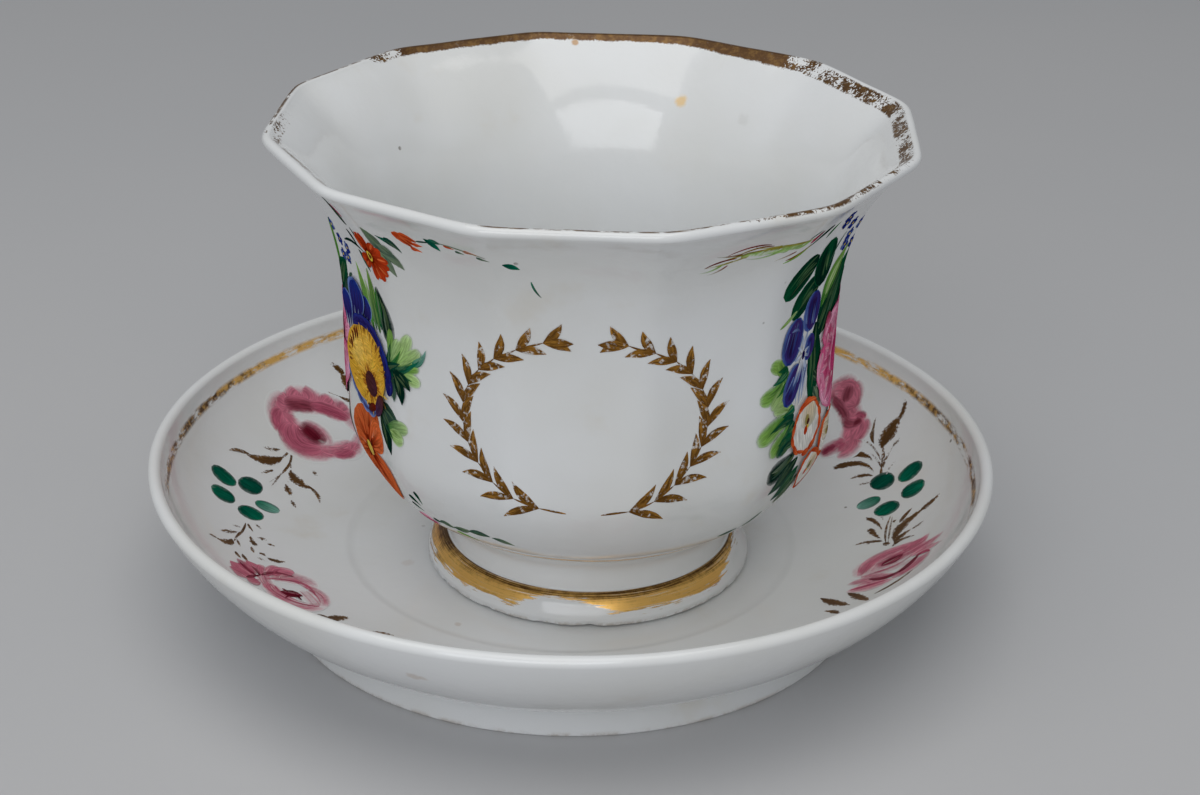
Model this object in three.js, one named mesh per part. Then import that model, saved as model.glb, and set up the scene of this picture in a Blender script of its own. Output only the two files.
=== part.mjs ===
// A porcelain chocolate cup standing in its saucer, in millimetres, with +Z up.
// The origin is the middle of the circle on which the saucer stands.
// The cup is a twelve-sided flared bell on a round foot, and the saucer is a round deep dish on a foot ring.
import * as THREE from "three";

// Saucer: heights are above the table
const saucerRadius = 75;
const saucerHeight = 28.5;
const saucerLipThickness = 2.5;
const saucerLipTiltDegrees = 20;
const saucerUndersideReach = 8.6;
const saucerUndersideLift = 4.4;
const saucerWallLean = 4.2;
const saucerWallDrop = 9.6;
const saucerInsideLean = 1.5;
const saucerInsideDrop = 8.6;
const saucerInsideReach = 19.5;
const wellRadius = 39;
const wellHeight = 8.2;
const wellFloorThickness = 3;
const wellStep = 0.4;
const wellStepWidth = 2.5;
const saucerFootRadius = 53.2;
const saucerFootWidth = 4.2;
const saucerFootChamfer = 0.6;

// Cup: heights are above the underside of its foot, and radii are to the flats of its twelve sides
const cupHeight = 80.8;
const cupLipRadius = 53.5;
const cupLipThickness = 2;
const cupLipTiltDegrees = 35;
const cupLipSweep = 9.5;
const cupLipRise = 7.3;
const cupWaistRadius = 41.4;
const cupWaistHeight = 46;
const cupUprightAboveWaist = 16;
const cupShoulderRadius = 41.2;
const cupShoulderHeight = 31;
const cupShoulderDrop = 9.5;
const cupBottomSweep = 7;
const cupBottomRise = 3;
const cupWallThickness = 3.2;
const cupFloorThickness = 4;
const cupFloorRadius = 19;
const facetCount = 12;
const facetCornerSharpness = 70;
const cupTurnDegrees = -2.8;

// Foot of the cup
const footRadius = 28.95;
const footHeight = 12;
const footEdgeHeight = 1.2;
const footEdgeChamfer = 0.3;
const footSkirtHeight = 5;
const neckRadius = 25.3;
const neckFlare = 2.2;
const neckHollow = 0.4;
const footWallThickness = 4.6;

// How the cup stands in the saucer: it is found a little off centre, to the right and to the front
const cupOffsetX = 3.2;
const cupOffsetY = -3.7;
const seatGap = 0.2;

// Fineness of the curved faces
const saucerSegments = 72;
const footSegments = 48;
const segmentsPerFacet = 4;
const curvePoints = 7;
const lipPoints = 5;
const samePointWithin = 1e-6;

// Looks
const porcelain = new THREE.MeshStandardMaterial({ color: 0xe4e5e6, roughness: 0.12, metalness: 0 });
const porcelainFoot = new THREE.MeshStandardMaterial({ color: 0xdfdfde, roughness: 0.18, metalness: 0 });

// The half-round lip that ends a wall: its outer and inner edge and a way to draw it on a profile.
function roundLip(radius, height, thickness, tiltDegrees) {
  const half = thickness / 2;
  const middle = new THREE.Vector2(radius - half, height - half);
  const start = -THREE.MathUtils.degToRad(tiltDegrees);
  const outer = new THREE.Vector2(half, 0).rotateAround(new THREE.Vector2(), start).add(middle);
  const inner = middle.clone().multiplyScalar(2).sub(outer);
  const draw = (path) => path.absarc(middle.x, middle.y, half, start, start + Math.PI, false);
  return { outer, inner, draw };
}

// The points of a profile path, with its own count on the short round of a lip.
function profilePoints(path) {
  const points = [];
  for (const curve of path.curves) {
    const bendPoints = curve.isEllipseCurve ? lipPoints : curvePoints;
    points.push(...curve.getPoints(curve.isLineCurve ? 1 : bendPoints));
  }
  return points.filter((point, i) => i === 0 || point.distanceTo(points[i - 1]) > samePointWithin);
}

// Turns a profile about the Z axis.
function revolve(path, segments) {
  return new THREE.LatheGeometry(profilePoints(path), segments).rotateX(Math.PI / 2);
}

// Radius of a section with flat sides and rounded corners, as a multiple of the radius to its flats.
function facetedRadius(angle) {
  const facetAngle = (2 * Math.PI) / facetCount;
  let sum = 0;
  for (let side = 0; side < facetCount; side += 1) {
    const cosine = Math.cos(angle - Math.PI / 2 - side * facetAngle);
    if (cosine > 0) sum += cosine ** facetCornerSharpness;
  }
  return sum ** (-1 / facetCornerSharpness);
}

// Turns a profile about the Z axis and presses the flat sides into it.
// facetShare gives how strongly a profile point is faceted: 1 on the flat sides, 0 where the wall is round.
function revolveFaceted(path, facetShare) {
  const segments = facetCount * segmentsPerFacet;
  const geometry = revolve(path, segments);
  const position = geometry.getAttribute("position");
  const pointCount = position.count / (segments + 1);
  for (let i = 0; i < position.count; i += 1) {
    const x = position.getX(i);
    const y = position.getY(i);
    const share = facetShare(i % pointCount, position.getZ(i));
    const scale = 1 + share * (facetedRadius(Math.atan2(y, x)) - 1);
    position.setXY(i, x * scale, y * scale);
  }
  return geometry;
}

function named(name, geometry, material) {
  const mesh = new THREE.Mesh(geometry, material);
  mesh.name = name;
  return mesh;
}

// Saucer

const saucerFootHeight = wellHeight - wellFloorThickness;

function makeSaucerDish() {
  const lip = roundLip(saucerRadius, saucerHeight, saucerLipThickness, saucerLipTiltDegrees);
  const wellEdge = new THREE.Vector2(wellRadius + wellStepWidth, wellHeight + wellStep);
  const path = new THREE.Path();
  path.moveTo(0, saucerFootHeight);
  path.lineTo(saucerFootRadius, saucerFootHeight);
  path.bezierCurveTo(
    saucerFootRadius + saucerUndersideReach, saucerFootHeight + saucerUndersideLift,
    lip.outer.x - saucerWallLean, lip.outer.y - saucerWallDrop,
    lip.outer.x, lip.outer.y,
  );
  lip.draw(path);
  path.bezierCurveTo(
    lip.inner.x - saucerInsideLean, lip.inner.y - saucerInsideDrop,
    wellEdge.x + saucerInsideReach, wellEdge.y + wellStep,
    wellEdge.x, wellEdge.y,
  );
  path.lineTo(wellRadius, wellHeight);
  path.lineTo(0, wellHeight);
  return revolve(path, saucerSegments);
}

function makeSaucerFootRing() {
  const innerRadius = saucerFootRadius - saucerFootWidth;
  const path = new THREE.Path();
  path.moveTo(innerRadius + saucerFootChamfer, 0);
  path.lineTo(saucerFootRadius - saucerFootChamfer, 0);
  path.lineTo(saucerFootRadius, saucerFootChamfer);
  path.lineTo(saucerFootRadius, saucerFootHeight);
  path.lineTo(innerRadius, saucerFootHeight);
  path.lineTo(innerRadius, saucerFootChamfer);
  path.lineTo(innerRadius + saucerFootChamfer, 0);
  return revolve(path, saucerSegments);
}

// Cup

const bodyBottomRadius = neckRadius + neckFlare;

function makeCupBody() {
  const lip = roundLip(cupLipRadius, cupHeight, cupLipThickness, cupLipTiltDegrees);
  const innerFloor = footHeight + cupFloorThickness;
  const innerWaist = cupWaistRadius - cupWallThickness;
  const innerShoulder = cupShoulderRadius - cupWallThickness;
  const flareStart = cupWaistHeight + cupUprightAboveWaist;

  const path = new THREE.Path();
  path.moveTo(0, footHeight);
  path.lineTo(bodyBottomRadius, footHeight);
  path.bezierCurveTo(
    bodyBottomRadius + cupBottomSweep, footHeight + cupBottomRise,
    cupShoulderRadius, cupShoulderHeight - cupShoulderDrop,
    cupShoulderRadius, cupShoulderHeight,
  );
  path.lineTo(cupWaistRadius, cupWaistHeight);
  path.bezierCurveTo(
    cupWaistRadius, flareStart,
    lip.outer.x - cupLipSweep, lip.outer.y - cupLipRise,
    lip.outer.x, lip.outer.y,
  );
  lip.draw(path);
  path.bezierCurveTo(
    lip.inner.x - cupLipSweep, lip.inner.y - cupLipRise,
    innerWaist, flareStart,
    innerWaist, cupWaistHeight,
  );
  path.lineTo(innerShoulder, cupShoulderHeight);
  path.bezierCurveTo(
    innerShoulder, cupShoulderHeight - cupShoulderDrop,
    cupFloorRadius + cupBottomSweep, innerFloor,
    cupFloorRadius, innerFloor,
  );
  path.lineTo(0, innerFloor);

  // The outside is twelve-sided from its shoulder to its lip; the inside is round and takes the facets near the lip.
  const lipStart = profilePoints(path).findIndex((point) => point.distanceTo(lip.outer) < samePointWithin);
  const facetShare = (index, height) => {
    const isOutside = index <= lipStart + lipPoints;
    return isOutside
      ? THREE.MathUtils.smoothstep(height, footHeight, cupShoulderHeight)
      : THREE.MathUtils.smoothstep(height, flareStart, lip.inner.y);
  };
  return revolveFaceted(path, facetShare);
}

function makeCupFoot() {
  const innerTop = bodyBottomRadius - footWallThickness;
  const innerBase = footRadius - footWallThickness;
  const skirtRise = footSkirtHeight - footEdgeHeight;
  const skirtReach = footRadius - neckRadius;
  const neckRise = footHeight - footSkirtHeight;
  const path = new THREE.Path();
  path.moveTo(innerBase, 0);
  path.lineTo(footRadius - footEdgeChamfer, 0);
  path.lineTo(footRadius, footEdgeChamfer);
  path.lineTo(footRadius, footEdgeHeight);
  path.bezierCurveTo(
    footRadius - skirtReach / 3, footEdgeHeight + skirtRise * 0.7,
    neckRadius + skirtReach / 3, footSkirtHeight,
    neckRadius, footSkirtHeight,
  );
  path.bezierCurveTo(
    neckRadius - neckHollow, footSkirtHeight + neckRise / 3,
    neckRadius - neckHollow, footHeight - neckRise / 3,
    bodyBottomRadius, footHeight,
  );
  path.lineTo(innerTop, footHeight);
  path.lineTo(innerBase, 0);
  return revolve(path, footSegments);
}

// Assembly

const saucer = new THREE.Group();
saucer.add(named("saucer_dish", makeSaucerDish(), porcelain));
saucer.add(named("saucer_foot_ring", makeSaucerFootRing(), porcelainFoot));

const cup = new THREE.Group();
cup.position.set(cupOffsetX, cupOffsetY, wellHeight + seatGap);
cup.rotation.z = THREE.MathUtils.degToRad(cupTurnDegrees);
cup.add(named("cup_body", makeCupBody(), porcelain));
cup.add(named("cup_foot", makeCupFoot(), porcelainFoot));

const cupAndSaucer = new THREE.Group();
cupAndSaucer.add(saucer, cup);

export default cupAndSaucer;
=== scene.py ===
import math
import random

import bpy
import numpy as np
from mathutils import Matrix, Vector, noise


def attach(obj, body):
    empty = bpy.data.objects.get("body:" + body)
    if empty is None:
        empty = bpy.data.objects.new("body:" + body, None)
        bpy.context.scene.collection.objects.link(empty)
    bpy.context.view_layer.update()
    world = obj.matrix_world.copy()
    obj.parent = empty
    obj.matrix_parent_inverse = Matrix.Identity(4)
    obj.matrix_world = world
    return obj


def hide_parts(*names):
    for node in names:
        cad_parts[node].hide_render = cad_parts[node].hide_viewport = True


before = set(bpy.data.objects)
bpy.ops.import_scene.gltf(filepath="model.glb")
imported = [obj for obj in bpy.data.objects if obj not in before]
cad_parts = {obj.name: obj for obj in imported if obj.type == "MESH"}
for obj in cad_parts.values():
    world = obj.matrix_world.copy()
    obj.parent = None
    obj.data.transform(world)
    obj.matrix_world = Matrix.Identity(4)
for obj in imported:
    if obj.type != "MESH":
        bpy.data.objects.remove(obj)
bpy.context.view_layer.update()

# Sizes in millimetres, as in the frame
MM = 0.001
CUP_AXIS = (3.2, -3.7)
CUP_BASE = 8.4
CUP_TURN = -2.8
CUP_BOTTOM = 12.0
CUP_SHOULDER = 31.0
CUP_FLARE = 62.0
FACETS = 12
FACET_SHARPNESS = 70
# Steps round a turned piece and along each bend of its profile, and points nearer than this are one
TURN_STEPS = 288
CURVE_STEPS = 26
WELD = 0.002
# Length of a bezier handle that makes a quarter circle, as a share of its radius
QUARTER_HANDLE = 0.5523
# The flat on which the painting is laid out: radius of its girth on the cup and on the saucer
GIRTH_RADIUS = 42.0
SAUCER_RING = 60.0
# Rays that find the porcelain start this far out, in metres
RAY_START = 0.09


def linear(red, green, blue):
    """A colour given as 0 to 255 on the screen, as the shaders use it."""
    def channel(value):
        value /= 255
        return value / 12.92 if value <= 0.04045 else ((value + 0.055) / 1.055) ** 2.4
    return (channel(red), channel(green), channel(blue), 1.0)


# Modelling

def leave_selection():
    bpy.ops.object.select_all(action="DESELECT")


def select_only(piece):
    leave_selection()
    piece.select_set(True)
    bpy.context.view_layer.objects.active = piece


def lip(radius, height, thickness, tilt):
    """A half-round lip: its outer edge, inner edge, crest and half thickness, and its two quarter bends."""
    half = thickness / 2
    middle = np.array([radius - half, height - half])
    down = -math.radians(tilt)
    reach = half * np.array([math.cos(down), math.sin(down)])
    rise = np.array([-reach[1], reach[0]])
    outer, inner, crest = middle + reach, middle - reach, middle + rise
    legs = [
        (outer + QUARTER_HANDLE * rise, crest + QUARTER_HANDLE * reach, crest),
        (crest - QUARTER_HANDLE * reach, inner + QUARTER_HANDLE * rise, inner),
    ]
    return outer, inner, crest, half, legs


def split_leg(start, leg):
    """The same bend as two legs, for a long bend that has to be finer."""
    start, first, second, end = (np.array(point, float) for point in (start, *leg))
    a, b, c = (start + first) / 2, (first + second) / 2, (second + end) / 2
    d, e = (a + b) / 2, (b + c) / 2
    return [(a, d, (d + e) / 2), (e, c, end)]


def draw_profile(name, start, legs):
    """A curve in the XZ plane. Each leg is an end point, or two handles and an end point."""
    leave_selection()
    bpy.ops.curve.primitive_bezier_curve_add()
    curve = bpy.context.object
    curve.name = name
    spline = curve.data.splines[0]
    spline.bezier_points.add(len(legs) - 1)
    spline.resolution_u = CURVE_STEPS
    last = np.array(start, float)
    places = [last]
    handles = []
    for leg in legs:
        if len(leg) == 3:
            first, second, end = (np.array(point, float) for point in leg)
        else:
            end = np.array(leg, float)
            first = last + (end - last) / 3
            second = end - (end - last) / 3
        handles.append((first, second))
        places.append(end)
        last = end
    for i, point in enumerate(spline.bezier_points):
        before = handles[i - 1][1] if i else places[0]
        after = handles[i][0] if i < len(handles) else places[-1]
        point.handle_left_type = point.handle_right_type = "FREE"
        for socket, place in (("co", places[i]), ("handle_left", before), ("handle_right", after)):
            setattr(point, socket, (place[0] * MM, 0, place[1] * MM))
    return curve


def turn_on_wheel(curve, zero_at=None):
    """Spins a profile about Z into a closed solid. Each point keeps how far along the profile it lies."""
    select_only(curve)
    bpy.ops.object.convert(target="MESH")
    piece = bpy.context.object
    mesh = piece.data
    places = np.array([v.co for v in mesh.vertices]) / MM
    step = np.linalg.norm(np.diff(places, axis=0), axis=1)
    along = np.concatenate([[0], np.cumsum(step)])
    if zero_at is not None:
        nearest = np.argmin(np.hypot(places[:, 0] - zero_at[0], places[:, 2] - zero_at[1]))
        along = along - along[nearest]
    mesh.attributes.new("along", "FLOAT", "POINT").data.foreach_set("value", along.astype(np.float32))
    bpy.ops.object.mode_set(mode="EDIT")
    bpy.ops.mesh.select_all(action="SELECT")
    bpy.ops.mesh.spin(steps=TURN_STEPS, angle=2 * math.pi, center=(0, 0, 0), axis=(0, 0, 1))
    bpy.ops.mesh.select_all(action="SELECT")
    bpy.ops.mesh.remove_doubles(threshold=WELD * MM)
    bpy.ops.mesh.normals_make_consistent(inside=False)
    bpy.ops.mesh.faces_shade_smooth()
    bpy.ops.object.mode_set(mode="OBJECT")
    return piece


def vertex_places(piece):
    places = np.empty(len(piece.data.vertices) * 3)
    piece.data.vertices.foreach_get("co", places)
    return places.reshape(-1, 3) / MM


def set_vertex_places(piece, places):
    piece.data.vertices.foreach_set("co", (places * MM).ravel())
    piece.data.update()


def vertex_along(piece):
    along = np.empty(len(piece.data.vertices))
    piece.data.attributes["along"].data.foreach_get("value", along)
    return along


def smooth_step(value, low, high):
    share = np.clip((value - low) / (high - low), 0, 1)
    return share * share * (3 - 2 * share)


def hand_finish(piece, depth, size):
    """The slight unevenness of pressed and hand-turned porcelain, always inside the drawn form."""
    texture = bpy.data.textures.new(piece.name + "_unevenness", "CLOUDS")
    texture.noise_scale = size * MM
    texture.noise_depth = 1
    uneven = piece.modifiers.new("unevenness", "DISPLACE")
    uneven.texture = texture
    uneven.texture_coords = "LOCAL"
    uneven.strength = depth * MM
    uneven.mid_level = 1.0
    select_only(piece)
    bpy.ops.object.modifier_apply(modifier="unevenness")


def stand_cup_piece(piece):
    """Puts a piece modelled about the cup's own axis in its place in the saucer."""
    piece.data.transform(Matrix.Rotation(math.radians(CUP_TURN), 4, "Z"))
    piece.data.transform(Matrix.Translation(Vector((*CUP_AXIS, CUP_BASE)) * MM))


# Porcelain pieces

def make_cup_body():
    outer, inner, crest, half, lip_legs = lip(radius=53.5, height=80.8, thickness=2.0, tilt=35)
    sweep = np.array([9.5, 7.3])
    body = turn_on_wheel(draw_profile("porcelain_cup_body", (0, 12.0), [
        (27.5, 12.0),
        ((34.5, 15.0), (41.2, 21.5), (41.2, 31.0)),
        (41.4, 46.0),
        ((41.4, 62.0), outer - sweep, outer),
        *lip_legs,
        (inner - sweep, (38.2, 62.0), (38.2, 46.0)),
        (38.0, 31.0),
        ((38.0, 21.5), (26.0, 16.0), (19.0, 16.0)),
        (0.0, 16.0),
    ]), crest)
    # Flat sides with soft corners, which fade out to a circle at the bottom and inside below the flare
    places = vertex_places(body)
    outside = vertex_along(body) <= half * math.pi / 2
    share = np.where(
        outside,
        smooth_step(places[:, 2], CUP_BOTTOM, CUP_SHOULDER),
        smooth_step(places[:, 2], CUP_FLARE, inner[1]),
    )
    angle = np.arctan2(places[:, 1], places[:, 0])
    total = np.zeros(len(places))
    for side in range(FACETS):
        cosine = np.cos(angle - math.pi / 2 - side * 2 * math.pi / FACETS)
        total += np.maximum(cosine, 0) ** FACET_SHARPNESS
    scale = 1 + share * (total ** (-1 / FACET_SHARPNESS) - 1)
    places[:, :2] *= scale[:, None]
    set_vertex_places(body, places)
    hand_finish(body, depth=0.22, size=17)
    stand_cup_piece(body)
    return body


# Nicks in the foot's standing edge, coarse and fine: how often, which of the patterns, how rare and how deep
NICKS = ((6, 0.7, 0.2, 0.8), (21, 3.1, 0.1, 0.4))
NICK_HEIGHT = 0.8
NICK_FROM, NICK_TO, NICK_RADIUS = 27.6, 28.6, 28.9


def make_cup_foot():
    foot = turn_on_wheel(draw_profile("porcelain_cup_foot", (24.35, 0.0), [
        (28.65, 0.0),
        (28.95, 0.3),
        (28.95, 1.2),
        ((27.73, 3.86), (26.52, 5.0), (25.3, 5.0)),
        ((24.9, 7.33), (24.9, 9.67), (27.5, 12.0)),
        (22.9, 12.0),
        (24.35, 0.0),
    ]))
    places = vertex_places(foot)
    angle = np.arctan2(places[:, 1], places[:, 0])
    reach = np.hypot(places[:, 0], places[:, 1])
    near_edge = np.exp(-(places[:, 2] / NICK_HEIGHT) ** 2) * smooth_step(reach, NICK_FROM, NICK_TO)
    for i in np.nonzero(near_edge > 0.02)[0]:
        depth = 0
        for often, pattern, rare, deep in NICKS:
            spot = Vector((math.cos(angle[i]) * often, math.sin(angle[i]) * often, pattern))
            depth += max(0, noise.noise(spot) - rare) * deep
        places[i, :2] *= 1 - near_edge[i] * depth / NICK_RADIUS
        places[i, 2] += near_edge[i] * depth / 2
    set_vertex_places(foot, places)
    stand_cup_piece(foot)
    return foot


def make_saucer_dish():
    outer, inner, crest, _, lip_legs = lip(radius=75.0, height=28.5, thickness=2.5, tilt=20)
    dish = turn_on_wheel(draw_profile("porcelain_saucer_dish", (0, 5.2), [
        (53.2, 5.2),
        ((61.8, 9.6), outer - np.array([4.2, 9.6]), outer),
        *lip_legs,
        *split_leg(inner, (inner - np.array([1.5, 8.6]), (61.0, 9.0), (41.5, 8.6))),
        ((40.6, 8.58), (40.2, 8.2), (39.0, 8.2)),
        (0.0, 8.2),
    ]), crest)
    hand_finish(dish, depth=0.2, size=24)
    return dish


def make_saucer_foot_ring():
    return turn_on_wheel(draw_profile("porcelain_saucer_foot_ring", (49.6, 0.0), [
        (52.6, 0.0),
        ((53.0, 0.0), (53.2, 0.2), (53.2, 0.6)),
        (53.2, 5.2),
        (49.0, 5.2),
        (49.0, 0.6),
        ((49.0, 0.2), (49.2, 0.0), (49.6, 0.0)),
    ]))


# Shader building

class Shader:
    """Short ways to lay shader nodes and join them."""

    def __init__(self, tree):
        self.tree = tree

    def feed(self, node, inputs):
        """Sets a node's inputs, given by name or number, to values or to what other nodes put out."""
        for name, value in inputs.items():
            if isinstance(value, bpy.types.NodeSocket):
                self.tree.links.new(value, node.inputs[name])
            else:
                node.inputs[name].default_value = value

    def node(self, kind, inputs=None, **settings):
        made = self.tree.nodes.new(kind)
        for name, value in settings.items():
            setattr(made, name, value)
        self.feed(made, inputs or {})
        return made

    def surface(self, inputs):
        self.feed(self.tree.nodes["Principled BSDF"], inputs)

    def math(self, operation, *values):
        return self.node("ShaderNodeMath", dict(enumerate(values)), operation=operation).outputs[0]

    def times(self, first, second):
        return self.math("MULTIPLY", first, second)

    def plus(self, first, second):
        return self.math("ADD", first, second)

    def minus(self, first, second):
        return self.math("SUBTRACT", first, second)

    def times_plus(self, first, second, third):
        return self.math("MULTIPLY_ADD", first, second, third)

    def remap(self, value, low, high, to_low=0.0, to_high=1.0):
        inputs = {"Value": value, "From Min": low, "From Max": high, "To Min": to_low, "To Max": to_high}
        return self.node("ShaderNodeMapRange", inputs, interpolation_type="SMOOTHSTEP").outputs[0]

    def noise(self, place, scale, detail=2.0, roughness=0.5):
        inputs = {"Vector": place, "Scale": scale, "Detail": detail, "Roughness": roughness}
        return self.node("ShaderNodeTexNoise", inputs).outputs[0]

    def mix(self, share, first, second):
        return self.node("ShaderNodeMix", {0: share, 6: first, 7: second}, data_type="RGBA").outputs[2]

    def split(self, vector):
        return self.node("ShaderNodeSeparateXYZ", {0: vector}).outputs

    def join(self, x, y, z):
        return self.node("ShaderNodeCombineXYZ", {0: x, 1: y, 2: z}).outputs[0]

    def bump(self, height, strength, distance):
        inputs = {"Height": height, "Strength": strength, "Distance": distance}
        return self.node("ShaderNodeBump", inputs).outputs[0]

    def object_place(self):
        return self.node("ShaderNodeTexCoord").outputs["Object"]

    def profile_length(self):
        return self.node("ShaderNodeAttribute", attribute_name="along").outputs["Fac"]


def new_material(name):
    material = bpy.data.materials.new(name)
    material.use_nodes = True
    return material, Shader(material.node_tree)


# Porcelain glaze and worn gilding

# Colours of the glaze, of its warm clouds and specks, of its darkening near a standing edge, and of gilding
# that is whole or brown, the brown standing for rubbed gilding and on the cup's foot also for painted shade
GLAZE_WHITE = linear(226, 228, 229)
GLAZE_SHADE = linear(219, 220, 218)
GLAZE_WARM = linear(205, 196, 178)
GLAZE_SPECK = linear(92, 80, 66)
STAND_DARK = linear(150, 132, 108)
WHOLE_GILT = linear(240, 190, 104)
RUBBED_AND_SHADED_GILT = linear(88, 58, 24)


def glaze_colour(shader, place):
    """White porcelain under a clear glaze: a cool white with faint clouds and a few small specks."""
    clouds = shader.remap(shader.noise(place, 26, 3), 0.35, 0.7)
    colour = shader.mix(clouds, GLAZE_WHITE, GLAZE_SHADE)
    warm = shader.remap(shader.noise(place, 55, 4, 0.6), 0.6, 0.78, 0, 0.3)
    colour = shader.mix(warm, colour, GLAZE_WARM)
    specks = shader.node("ShaderNodeTexVoronoi", {"Vector": place, "Scale": 130})
    sparse = shader.remap(shader.noise(place, 70, 1), 0.6, 0.66)
    dots = shader.times(shader.remap(specks.outputs["Distance"], 0.035, 0.06, 0.75, 0), sparse)
    return shader.mix(dots, colour, GLAZE_SPECK)


def marked(shader, place, colour, marks):
    """The glaze with ragged marks. Each has a place and radius in millimetres, a strength and a colour."""
    for centre, radius, strength, tint in marks:
        inputs = {0: place, 1: [size * MM for size in centre]}
        apart = shader.node("ShaderNodeVectorMath", inputs, operation="DISTANCE").outputs["Value"]
        ragged = shader.times_plus(shader.noise(place, 900), radius * 0.8 * MM, apart)
        mark = shader.remap(ragged, radius * 0.8 * MM, radius * 1.4 * MM, strength, 0)
        colour = shader.mix(mark, colour, linear(*tint))
    return colour


def darkened_near_stand(shader, place, colour, low, grain, least):
    """The glaze darkened near a standing edge, where low is the share of darkening."""
    darkening = shader.times(low, shader.remap(shader.noise(place, grain, 4, 0.7), least, 0.62))
    return shader.mix(darkening, colour, STAND_DARK)


def finish_glaze(shader, place, colour, gilding=0.0, rubbed=0.5, uneven=0.35, shine=0.45):
    """One glossy surface from porcelain and a gilding mask. Rubbed is the share of brown in the gilding,
    which on the cup's foot also holds painted shade and a painted highlight.
    """
    grain = shader.remap(shader.noise(place, 700, 4, 0.7), 0.34, 0.66, -uneven, uneven)
    gilt = shader.mix(shader.remap(shader.plus(grain, rubbed), 0.0, 1.0), WHOLE_GILT, RUBBED_AND_SHADED_GILT)
    gloss = shader.remap(shader.noise(place, 90, 3), 0.3, 0.75, 0.09, 0.15)
    ripple = shader.times_plus(shader.noise(place, 380), 0.5, shader.noise(place, 70))
    shader.surface({
        "Base Color": shader.mix(gilding, colour, gilt),
        "Metallic": shader.times(gilding, shine),
        "Roughness": shader.times_plus(gilding, 0.22, gloss),
        "Normal": shader.bump(ripple, 0.12, 0.0006),
    })


def around(shader, place, axis):
    """How far right and back of an upright axis a point lies, each from -1 to 1, and its height."""
    x, y, z = shader.split(place)
    across, back = shader.minus(x, axis[0] * MM), shader.minus(y, axis[1] * MM)
    reach = shader.math("SQRT", shader.times_plus(across, across, shader.times(back, back)))
    reach = shader.math("MAXIMUM", reach, 1 * MM)
    return shader.math("DIVIDE", across, reach), shader.math("DIVIDE", back, reach), z


def drawn_out(shader, place, along, round_scale, along_scale):
    """Coordinates in which a grain is drawn out round a turned piece."""
    x, y = shader.split(place)[:2]
    return shader.join(
        shader.times(x, round_scale), shader.times(y, round_scale), shader.times(along, along_scale)
    )


def streaks(shader, place, along, fine):
    """Uneven wear that runs in streaks round a rim, from 0 to 1."""
    run = drawn_out(shader, place, along, 0.4, 0.0016)
    coarse = shader.times(shader.noise(run, fine), 0.4)
    return shader.remap(shader.times_plus(shader.noise(run, fine * 4, 3, 0.7), 0.6, coarse), 0.36, 0.64)


def left_of(shader, amount, level, soft):
    """A mask of what is left of gilding, where amount is the share left."""
    return shader.remap(shader.minus(amount, level), 0.0, 2 * soft)


def band(shader, value, low, high, soft):
    """1 between two heights or lengths, falling off softly."""
    rise = shader.remap(value, low - soft, low + soft)
    fall = shader.remap(value, high - soft, high + soft, 1, 0)
    return shader.times(rise, fall)


# Worn gilding on the cup's lip: from and to along the profile, where it fades in to the right and back,
# and the share that is left. A strip narrower than FINE_STRIP is left in lines, a wider one in grains.
RIM_WEAR = (
    (1.2, 4.0, 0.62, 0.86, -0.72, -0.35, 0.68),
    (0.0, 0.75, -0.4, -0.62, -0.3, 0.0, 0.9),
    (1.0, 3.2, -0.55, -0.75, 0.1, -0.2, 0.52),
    (0.35, 1.2, -0.45, -0.2, -0.5, -0.7, 0.9),
    (-0.3, 1.3, 0.35, 0.6, -0.3, -0.5, 0.62),
)
FINE_STRIP = 1.2


def rim_gilding(shader, place, along, right, back):
    """What is left of the gilt rim: whole at the back, in grains and in thin lines elsewhere."""
    coarse = shader.times(shader.noise(place, 330), 0.5)
    grains = shader.times_plus(shader.noise(place, 2300, 2, 0.6), 0.5, coarse)
    ragged = shader.times_plus(shader.minus(grains, 0.5), 1.6, along)
    grains = shader.remap(grains, 0.38, 0.62)
    lines = streaks(shader, place, along, fine=300)
    inward = shader.remap(right, 0.1, 0.75, 0, 1.2)
    whole = band(shader, shader.minus(ragged, inward), low=-1.8, high=2.5, soft=0.2)
    rim = shader.times(whole, left_of(shader, shader.remap(back, 0.56, 0.8, 0, 1.2), grains, 0.12))
    for low, high, right_from, right_to, back_from, back_to, share in RIM_WEAR:
        from_side = shader.remap(right, right_from, right_to)
        zone = shader.times(from_side, shader.remap(back, back_from, back_to, 0, share))
        if high - low < FINE_STRIP:
            left, place_along = left_of(shader, zone, lines, 0.2), along
        else:
            left, place_along = left_of(shader, zone, grains, 0.1), ragged
        rim = shader.math("MAXIMUM", rim, shader.times(band(shader, place_along, low, high, 0.2), left))
    return rim


# Gilding rubbed off on the cup's glaze, and a grey scuff
CUP_MARKS = (
    ((19.0, 37.5, 79.6), 1.5, 0.7, (238, 196, 116)),
    ((-0.9, 47.1, 87.8), 0.9, 0.8, (188, 136, 66)),
    ((30.0, 29.8, 78.8), 1.6, 0.12, (150, 146, 136)),
)


def cup_body_glaze():
    material, shader = new_material("cup_body_glaze")
    place, along = shader.object_place(), shader.profile_length()
    right, back, height = around(shader, place, CUP_AXIS)
    rim = rim_gilding(shader, place, along, right, back)
    # A thin gilt line under the bowl
    bottom = CUP_BASE + CUP_BOTTOM
    line = band(shader, height, (bottom + 2.5) * MM, (bottom + 3.4) * MM, 0.12 * MM)
    line = shader.times(line, left_of(shader, 0.95, streaks(shader, place, along, fine=120), soft=0.07))
    outside = shader.math("LESS_THAN", along, 0.0)
    gilding = shader.math("MAXIMUM", rim, shader.times(line, outside))
    colour = marked(shader, place, glaze_colour(shader, place), CUP_MARKS)
    rubbed = shader.remap(height, 30 * MM, 60 * MM, 0.3, 0.9)
    finish_glaze(shader, place, colour, gilding, rubbed, uneven=0.12)
    return material


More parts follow.
